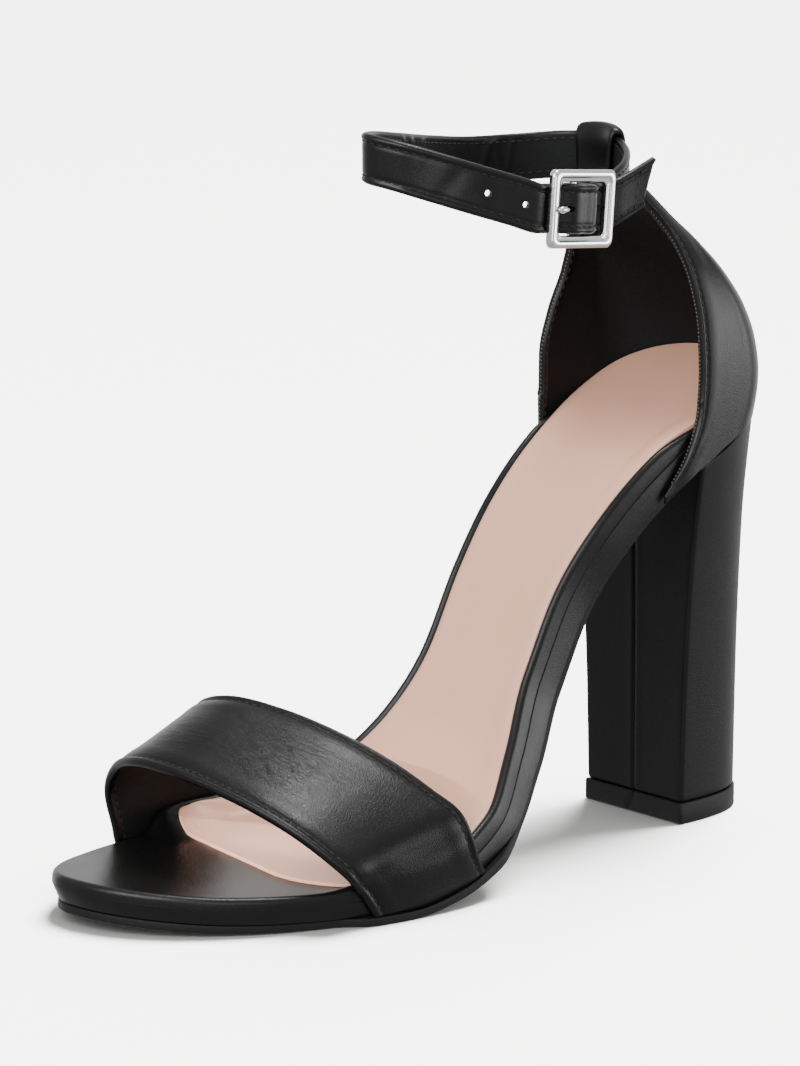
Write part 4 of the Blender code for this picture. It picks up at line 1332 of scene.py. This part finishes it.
def drill(radius, depth, matrix, stretch=1.0):
    """Round or oval cutter along its own Y, in millimetres."""
    bm = bmesh.new()
    bmesh.ops.create_cone(bm, cap_ends=True, segments=28, radius1=radius, radius2=radius, depth=depth)
    bmesh.ops.rotate(bm, matrix=Matrix.Rotation(math.pi / 2, 3, "X"), verts=bm.verts)
    bmesh.ops.scale(bm, vec=(stretch, 1, 1), verts=bm.verts)
    bmesh.ops.transform(bm, matrix=matrix, verts=bm.verts)
    return bm


def cutters():
    """All the holes of the strap: prong slot, prong hole and the spare holes, as one mesh."""
    made = []
    slot = bmesh.new()
    bmesh.ops.create_cube(slot, size=1.0)
    bmesh.ops.scale(slot, vec=PRONG_SLOT, verts=slot.verts)
    bmesh.ops.transform(slot, matrix=PLACE @ Matrix.Translation(SLOT_AT), verts=slot.verts)
    made.append(slot)
    made.append(drill(HOLE_R, PRONG_HOLE_DEPTH, PLACE @ Matrix.Translation(PRONG_HOLE), PRONG_HOLE_STRETCH))
    late = RUN > RUN[-1] * 0.6
    centre = RUN[late][np.linalg.norm(PATH[late] - np.array(BUCKLE_AT), axis=1).argmin()]
    for step in HOLES:
        i = int(np.abs(RUN - centre - step).argmin())
        side = np.cross(OUT[i], WIDE[i])
        turn = Matrix((Vector(side), Vector(OUT[i]), Vector(WIDE[i]))).transposed().to_4x4()
        made.append(drill(HOLE_R, STRAP_T + 1.6, Matrix.Translation(PATH[i]) @ turn))
    joined = bpy.data.meshes.new("holes")
    whole = bmesh.new()
    for bm in made:
        part = bpy.data.meshes.new("hole")
        bm.to_mesh(part)
        bm.free()
        whole.from_mesh(part)
        bpy.data.meshes.remove(part)
    bmesh.ops.scale(whole, vec=(MM, MM, MM), verts=whole.verts)
    bmesh.ops.translate(whole, vec=ORIGIN, verts=whole.verts)
    bmesh.ops.recalc_face_normals(whole, faces=whole.faces)
    whole.to_mesh(joined)
    whole.free()
    return joined


def drop_slivers(bm):
    """Take off the flaps of a few faces that a cut can leave hanging on an edge."""
    bmesh.ops.split_edges(bm, edges=[edge for edge in bm.edges if len(edge.link_faces) > 2])
    left = set(bm.faces)
    while left:
        island = [left.pop()]
        for face in island:
            for near in {other for edge in face.edges for other in edge.link_faces} & left:
                left.discard(near)
                island.append(near)
        if len(island) < ISLAND:
            bmesh.ops.delete(bm, geom=island, context="FACES")
    bmesh.ops.remove_doubles(bm, verts=bm.verts, dist=0.0001 * MM)


def cut_out(obj, mesh):
    """Cut holes and leave a plain mesh."""
    tool = linked("holes", mesh)
    mod = obj.modifiers.new("holes", "BOOLEAN")
    mod.operation = "DIFFERENCE"
    mod.object = tool
    mod.use_self = True
    bpy.context.view_layer.update()
    done = bpy.data.meshes.new_from_object(obj.evaluated_get(bpy.context.evaluated_depsgraph_get()))
    obj.modifiers.clear()
    obj.data = done
    bpy.data.objects.remove(tool)
    bm = bmesh.new()
    bm.from_mesh(done)
    bmesh.ops.remove_doubles(bm, verts=bm.verts, dist=WELD)
    bmesh.ops.dissolve_degenerate(bm, edges=bm.edges, dist=WELD)
    drop_slivers(bm)
    bm.to_mesh(done)
    bm.free()
    print(obj.name, "cut,", len(done.polygons), "faces")


# %% Strap with its holes and seams


def build_strap():
    across, face, back = strap_section()
    lines = [strap_points(a, o) for a, o in zip(across, face)]
    lines += [strap_points(a, o) for a, o in zip(across[::-1][1:-1], back[::-1][1:-1])]
    rows = np.stack(lines, axis=1)
    count, size = rows.shape[:2]
    faces = quads(count, size, round_cols=True)
    kinds = np.zeros(len(faces), int)
    column = np.tile(np.arange(size), count - 1)
    inner = (column > len(across) + 4) & (column < size - 6)
    kinds[inner] = 1
    faces += [tuple(range(size)), tuple(range((count - 1) * size, count * size))]
    strap = add_piece("ankle_strap_leather", rows.reshape(-1, 3), faces, [LEATHER, LINING],
                      ("ankle_strap",), kinds.tolist() + [0, 0])
    cut_out(strap, cutters())
    seams = []
    top = STRAP_W / 2 - STRAP_SEAM
    keep = slice(int(len(PATH) * 0.06), int(len(PATH) * 0.985))
    for side in (top, -top):
        for off, sign in ((STRAP_T / 2 - 0.05, 1), (-STRAP_T / 2 - 0.02, -1)):
            seams.append((strap_points(side, off)[keep], OUT[keep] * sign))
    ends = np.array([strap_points(a, STRAP_T / 2)[-12] for a in np.linspace(-top, top, 8)])
    seams.append((ends, np.tile(OUT[-12], (8, 1))))
    stitch(seams, "ankle_strap_stitches", 2.2, 1.7, 0.42, 0.32)


build_strap()

# %% [markdown]
# ## Loop
#
# A tab of the counter's leather, folded over the strap and sewn down behind. It could be a bent sheet;
# as its inside is hidden, a soft ring round the strap that laps over the counter's top shows the same
# with fewer points.

# %% Loop
LOOP_WALL = 1.3
LOOP_CLEAR = 0.6
LOOP_REACH = (6.0, 8.5)
LOOP_ARCH = 0.9
LOOP_SKIRT = 1.8


def build_loop():
    """Leather folded over the strap at the counter's top, with a soft round fold."""
    middle = np.linalg.norm(PATH - np.array(RING[2]), axis=1).argmin()
    reach = np.linspace(RUN[middle] - LOOP_REACH[0], RUN[middle] + LOOP_REACH[1], 40)
    points, wide, out = [resample(a, RUN, reach) for a in (PATH, WIDE, OUT)]
    inner_w = STRAP_W / 2 + LOOP_CLEAR
    inner_t = STRAP_T / 2 + LOOP_CLEAR
    turn = np.linspace(0, 2 * math.pi, 56, endpoint=False)
    last = len(points) - 1

    def ring(i, grow):
        power = 0.42 + 0.3 * min(grow / LOOP_WALL, 1.0)
        arch = LOOP_ARCH * (1 - (2 * i / last - 1) ** 2) * min(grow / LOOP_WALL, 1.0)
        a = np.sign(np.cos(turn)) * np.abs(np.cos(turn)) ** power * (inner_t + grow)
        b = np.sign(np.sin(turn)) * np.abs(np.sin(turn)) ** power * (inner_w + grow)
        skirt = LOOP_SKIRT * min(grow, 1.0)
        b += arch * np.clip(b / inner_w, 0, 1) ** 2 - skirt * np.clip(-b / inner_w, 0, 1) ** 3
        return points[i] + out[i] * a[:, None] + wide[i] * b[:, None]

    rows = []
    for i in range(last + 1):
        end = min(i, last - i) / 3
        swell = LOOP_WALL * min(0.55 + 0.45 * math.sqrt(min(end, 1)), 1) - 0.12 * math.sin(math.pi * i / last)
        rows.append(ring(i, swell))
    for i in range(last, -1, -1):
        rows.append(ring(i, 0.0))
    rows = np.stack(rows)
    faces = quads(len(rows), len(turn), round_rows=True, round_cols=True)
    add_piece("counter_loop", rows.reshape(-1, 3), faces, [LEATHER], ("counter",))


build_loop()

# %% [markdown]
# ## Buckle
#
# A cast square frame with a step inside its front, a round centre bar set lower, and a prong of bent
# wire. Bevels on a cube could make the frame; a profile carried round a rectangle with round corners
# puts every step where the light shows it. Bar and prong are rings along a path.

# %% Buckle frame, bar and prong
BUCKLE_DEPTH = 2.2
PRONG_R = 0.6


def rounded(length, height, corner, steps=8):
    """Rectangle with round corners, as a ring of points."""
    ring = []
    for sx, sz, first in ((1, 1, 0), (-1, 1, 90), (-1, -1, 180), (1, -1, 270)):
        for i in range(steps + 1):
            angle = math.radians(first + 90 * i / steps)
            ring.append((sx * (length / 2 - corner) + corner * math.cos(angle),
                         sz * (height / 2 - corner) + corner * math.sin(angle)))
    return np.array(ring)


def wire_points(points, radius, flat, sides=16):
    """Rings of a round wire along a flat path; radius may vary."""
    tangent = np.gradient(points, axis=0)
    tangent /= np.linalg.norm(tangent, axis=1)[:, None]
    rings = []
    for p, t, r in zip(points, tangent, np.broadcast_to(radius, len(points))):
        across = np.cross(t, flat)
        angle = np.linspace(0, 2 * math.pi, sides, endpoint=False)[:, None]
        rings.append(p + r * (np.cos(angle) * flat + np.sin(angle) * across))
    return np.stack(rings)


def rod_faces(rings, base=0):
    """Faces of a wire with closed ends."""
    rows, sides = rings.shape[:2]
    ends = [tuple(range(first, first + sides)) for first in (base, base + (rows - 1) * sides)]
    return quads(rows, sides, base, round_cols=True) + ends


def placed(points):
    turn = np.array(PLACE)
    return np.asarray(points) @ turn[:3, :3].T + turn[:3, 3]


FRAME_PROFILE = (
    # inset from the outer edge, depth
    (0.0, 0.15), (0.0, 1.2), (0.12, 1.6), (0.4, 1.95), (0.8, BUCKLE_DEPTH), (1.5, BUCKLE_DEPTH), (1.75, 2.05),
    (1.85, 1.75), (2.0, 1.62), (BUCKLE_BAR - 0.3, 1.5), (BUCKLE_BAR - 0.08, 1.38), (BUCKLE_BAR, 1.15),
    (BUCKLE_BAR, 0.15), (BUCKLE_BAR - 0.15, 0.0), (0.15, 0.0),
)


def build_frame():
    """The square frame and its centre bar, as one piece."""
    rings = []
    for inset, depth in FRAME_PROFILE:
        corner = 1.7 - 0.1 * inset
        plan = rounded(BUCKLE_LENGTH - 2 * inset, BUCKLE_HEIGHT - 2 * inset, corner)
        rings.append(np.column_stack([plan[:, 0], np.full(len(plan), depth), plan[:, 1]]))
    rings = np.stack(rings)
    verts = [placed(rings.reshape(-1, 3))]
    faces = quads(len(rings), rings.shape[1], round_rows=True, round_cols=True)
    side = (BUCKLE_HEIGHT - BUCKLE_BAR) / 2
    bend = side - 0.9
    half = [(0, BUCKLE_DEPTH / 2, side), (0, PIN_DEPTH + 0.4, bend), (0, PIN_DEPTH, bend - 0.6),
            (0, PIN_DEPTH, bend - 1.2)]
    line = spline(half + [(0, y, -z) for _, y, z in half[::-1]], 70)
    pin = wire_points(line, PIN_R, np.array((1.0, 0, 0)))
    faces += rod_faces(pin, len(verts[0]))
    verts.append(placed(pin.reshape(-1, 3)))
    add_piece("frame_metal", np.vstack(verts), faces, [METAL], ("buckle_frame",))


def build_prong():
    """Wire hooked round the centre bar, over the strap and down on the frame, with a round end."""
    hook = PIN_R + GAP + PRONG_R
    prong = []
    for turn in range(330, 89, -30):
        angle = math.radians(turn)
        prong.append((hook * math.cos(angle), PIN_DEPTH + hook * math.sin(angle), 0))
    rest = BUCKLE_DEPTH + GAP + PRONG_R
    prong += [(2.4, -0.6, 0), (4.4, 0.4, 0), (6.0, 1.8, 0), (7.6, rest, 0), (9.0, rest + 0.15, 0),
              (BUCKLE_LENGTH / 2 - 0.6, rest, 0)]
    line = spline(prong, 90)
    t = np.linspace(0, 1, 90)
    radius = PRONG_R * (1 + 0.5 * bell(t - 0.92, 0.06))
    radius = radius * np.sqrt(np.clip(1 - np.clip((t - 0.94) / 0.06, 0, 0.99) ** 2, 0.01, 1))
    rod = wire_points(line, radius, np.array((0, 0, 1.0)))
    add_piece("prong_metal", placed(rod.reshape(-1, 3)), rod_faces(rod), [METAL],
              ("buckle_prong",))


build_frame()
build_prong()

# %% [markdown]
# ## Studio
#
# A shop photograph: pale floor, soft boxes and a white room. Black leather shows little but
# reflections, so the boxes were moved until the highlights lay about as in the photograph. Some lamps
# light one thing only, as no real lamp does: the floor, the sock at the toe or the buckle. An even sky
# would be simpler, but would leave the leather flat grey.

# %% Floor
FLOOR_REACH = 40


def build_floor():
    """Plain pale floor that fills the picture; reflections on the shoe come from the lights and the room."""
    mesh = bpy.data.meshes.new("floor")
    far = FLOOR_REACH
    mesh.from_pydata([(-far, -far, 0), (far, -far, 0), (far, far, 0), (-far, far, 0)], [], [(0, 1, 2, 3)])
    mat, _, _ = surface("pale_floor", "f4f4f2", 0.9, Specular_IOR_Level=0.0)
    mesh.materials.append(mat)
    floor = linked("floor", mesh)
    floor.visible_glossy = False
    floor.visible_diffuse = False
    return floor


FLOOR = build_floor()
print(FLOOR.name, 2 * FLOOR_REACH, "m wide")

# %% Lamps
MIDDLE = (0.0, 0.0, 0.06)
METAL_PIECES = ("frame_metal", "prong_metal")


def box(width, height):
    return {"shape": "RECTANGLE", "size": width, "size_y": height}


SUN_SHAPE = {"angle": math.radians(32)}
SPOT_SHAPE = {"spot_size": math.radians(2.7), "spot_blend": 0.7, "shadow_soft_size": 0.03}
LAMPS = (
    # kind, name, place, aim, power, shape, pieces lit, pieces not lit
    ("SUN", "floor_wash", (-0.5, -0.08, 1.0), (0, 0, 0), 20.0, SUN_SHAPE, ("floor",), ()),
    ("AREA", "top_box", (-0.31, -0.04, 1.48), MIDDLE, 15.5, box(0.45, 0.45), (), ()),
    ("AREA", "front_box", (1.25, 0.3, 0.85), MIDDLE, 21.0, box(1.0, 1.0), (), ("floor",)),
    ("AREA", "sky_box", (-0.2, 0.3, 1.7), MIDDLE, 4.0, box(1.4, 1.4), (), ()),
    ("AREA", "side_box", (-0.95, 1.1, 0.2), (0, 0, 0.1), 4.5, box(0.6, 0.8), (), ()),
    ("AREA", "fore_box", (0.8, 1.2, 0.3), (0, 0, 0.14), 3.0, box(0.5, 0.6), (), ("floor",)),
    ("AREA", "back_box", (-1.25, 0.75, 0.16), (0, 0, 0.14), 4.0, box(0.4, 0.6), (), ()),
    ("SPOT", "toe_spot", (1.1, -0.15, 0.57), (0.048, -0.005, 0.006), 200.0, SPOT_SHAPE,
     ("sock_leather",), ()),
    ("AREA", "buckle_box", (-0.45, 0.75, 0.1), (-0.025, 0.031, 0.164), 1.4, box(0.5, 0.3), METAL_PIECES, ()),
)


def light(kind, name, place, aim, power, shape, only, never):
    """A lamp aimed at a place; it may light some pieces only, or all but some."""
    data = bpy.data.lights.new(name, kind)
    data.energy = power
    for key, value in shape.items():
        setattr(data, key, value)
    obj = linked(name, data)
    obj.location = place
    obj.rotation_euler = (Vector(aim) - Vector(place)).to_track_quat("-Z", "Y").to_euler()
    if only or never:
        kept = bpy.data.collections.new(name + "_on")
        obj.light_linking.receiver_collection = kept
        for piece in only or never:
            kept.objects.link(bpy.data.objects[piece])
        for member in kept.collection_objects:
            member.light_linking.link_state = "INCLUDE" if only else "EXCLUDE"


for lamp in LAMPS:
    light(*lamp)
print([lamp.name for lamp in bpy.data.lights])

# %% [markdown]
# ## White room
#
# What the leather mirrors beside the boxes is the room: even, brighter low behind the shoe, with a
# faint sheen to its outer side. A picture of a studio could be used, but three soft steps by direction
# say the same.

# %% White room
ROOM = (0.5, 0.65)
GLOW = 0.9
GLOW_WAY = (-0.649, -0.760, 0.0)
SHEEN = 0.2
SHEEN_WAY = (-0.72, 0.66, -0.2)


def build_room():
    world = bpy.data.worlds.new("studio")
    world.use_nodes = True
    tree = world.node_tree
    tree.nodes["Background"].inputs["Color"].default_value = (1.0, 1.0, 0.99, 1.0)
    way = node(tree, "ShaderNodeTexCoord").outputs["Generated"]
    height = node(tree, "ShaderNodeSeparateXYZ", {0: way}).outputs["Z"]

    def step(value, start, end, low, high):
        ends = {"Value": value, "From Min": start, "From Max": end, "To Min": low, "To Max": high}
        return node(tree, "ShaderNodeMapRange", ends, interpolation_type="SMOOTHSTEP").outputs[0]

    def towards(direction):
        dot = node(tree, "ShaderNodeVectorMath", {0: way, 1: direction}, operation="DOT_PRODUCT")
        return dot.outputs["Value"]

    room = step(height, -0.15, 0.1, *ROOM)
    glow = step(towards(GLOW_WAY), 0.3, 0.85, 0.0, GLOW)
    low = step(height, 0.5, 0.2, 0.0, 1.0)
    total = node(tree, "ShaderNodeMath", {0: glow, 1: low, 2: room}, operation="MULTIPLY_ADD")
    sheen = step(towards(SHEEN_WAY), 0.75, 1.0, 0.0, SHEEN)
    total = node(tree, "ShaderNodeMath", {0: total.outputs[0], 1: sheen}, operation="ADD")
    tree.links.new(total.outputs[0], tree.nodes["Background"].inputs["Strength"])
    bpy.context.scene.world = world


build_room()
print(bpy.context.scene.world.name, "room", ROOM)

# %% [markdown]
# ## Camera
#
# The photograph's view. It could be matched by eye alone; here heading, height, roll, aim and distance
# were fitted to the shoe's own edges in the photograph, with the heel's foot and the buckle. The lens is
# assumed and was held fixed: one photograph without a scale doesn't give it.

# %% Camera
HEADING = 49.5
HEIGHT = 11.489
ROLL = -0.232
AIM = (94.219, 17.471, 89.224)
DISTANCE = 1053.211
FOCAL = 4400.0
LONG_SIDE = 1066.0
SENSOR = 36.0


def build_camera():
    """The photograph's view: angles in degrees, aim and distance in millimetres, focal length in pixels."""
    turn, rise, roll = [math.radians(angle) for angle in (HEADING, HEIGHT, ROLL)]
    back = Vector((math.cos(rise) * math.cos(turn), math.cos(rise) * math.sin(turn), math.sin(rise)))
    aim = Vector(ORIGIN) + Vector(AIM) * MM
    right = Vector((0, 0, 1)).cross(back).normalized()
    axes = Matrix((right, back.cross(right), back)).transposed() @ Matrix.Rotation(roll, 3, "Z")
    data = bpy.data.cameras.new("camera")
    data.sensor_width = SENSOR
    data.lens = SENSOR * FOCAL / LONG_SIDE
    data.clip_start = 0.05
    camera = linked("camera", data)
    camera.matrix_world = Matrix.Translation(aim + back * DISTANCE * MM) @ axes.to_4x4()
    bpy.context.scene.camera = camera


build_camera()
print("lens", round(bpy.context.scene.camera.data.lens, 1), "mm")
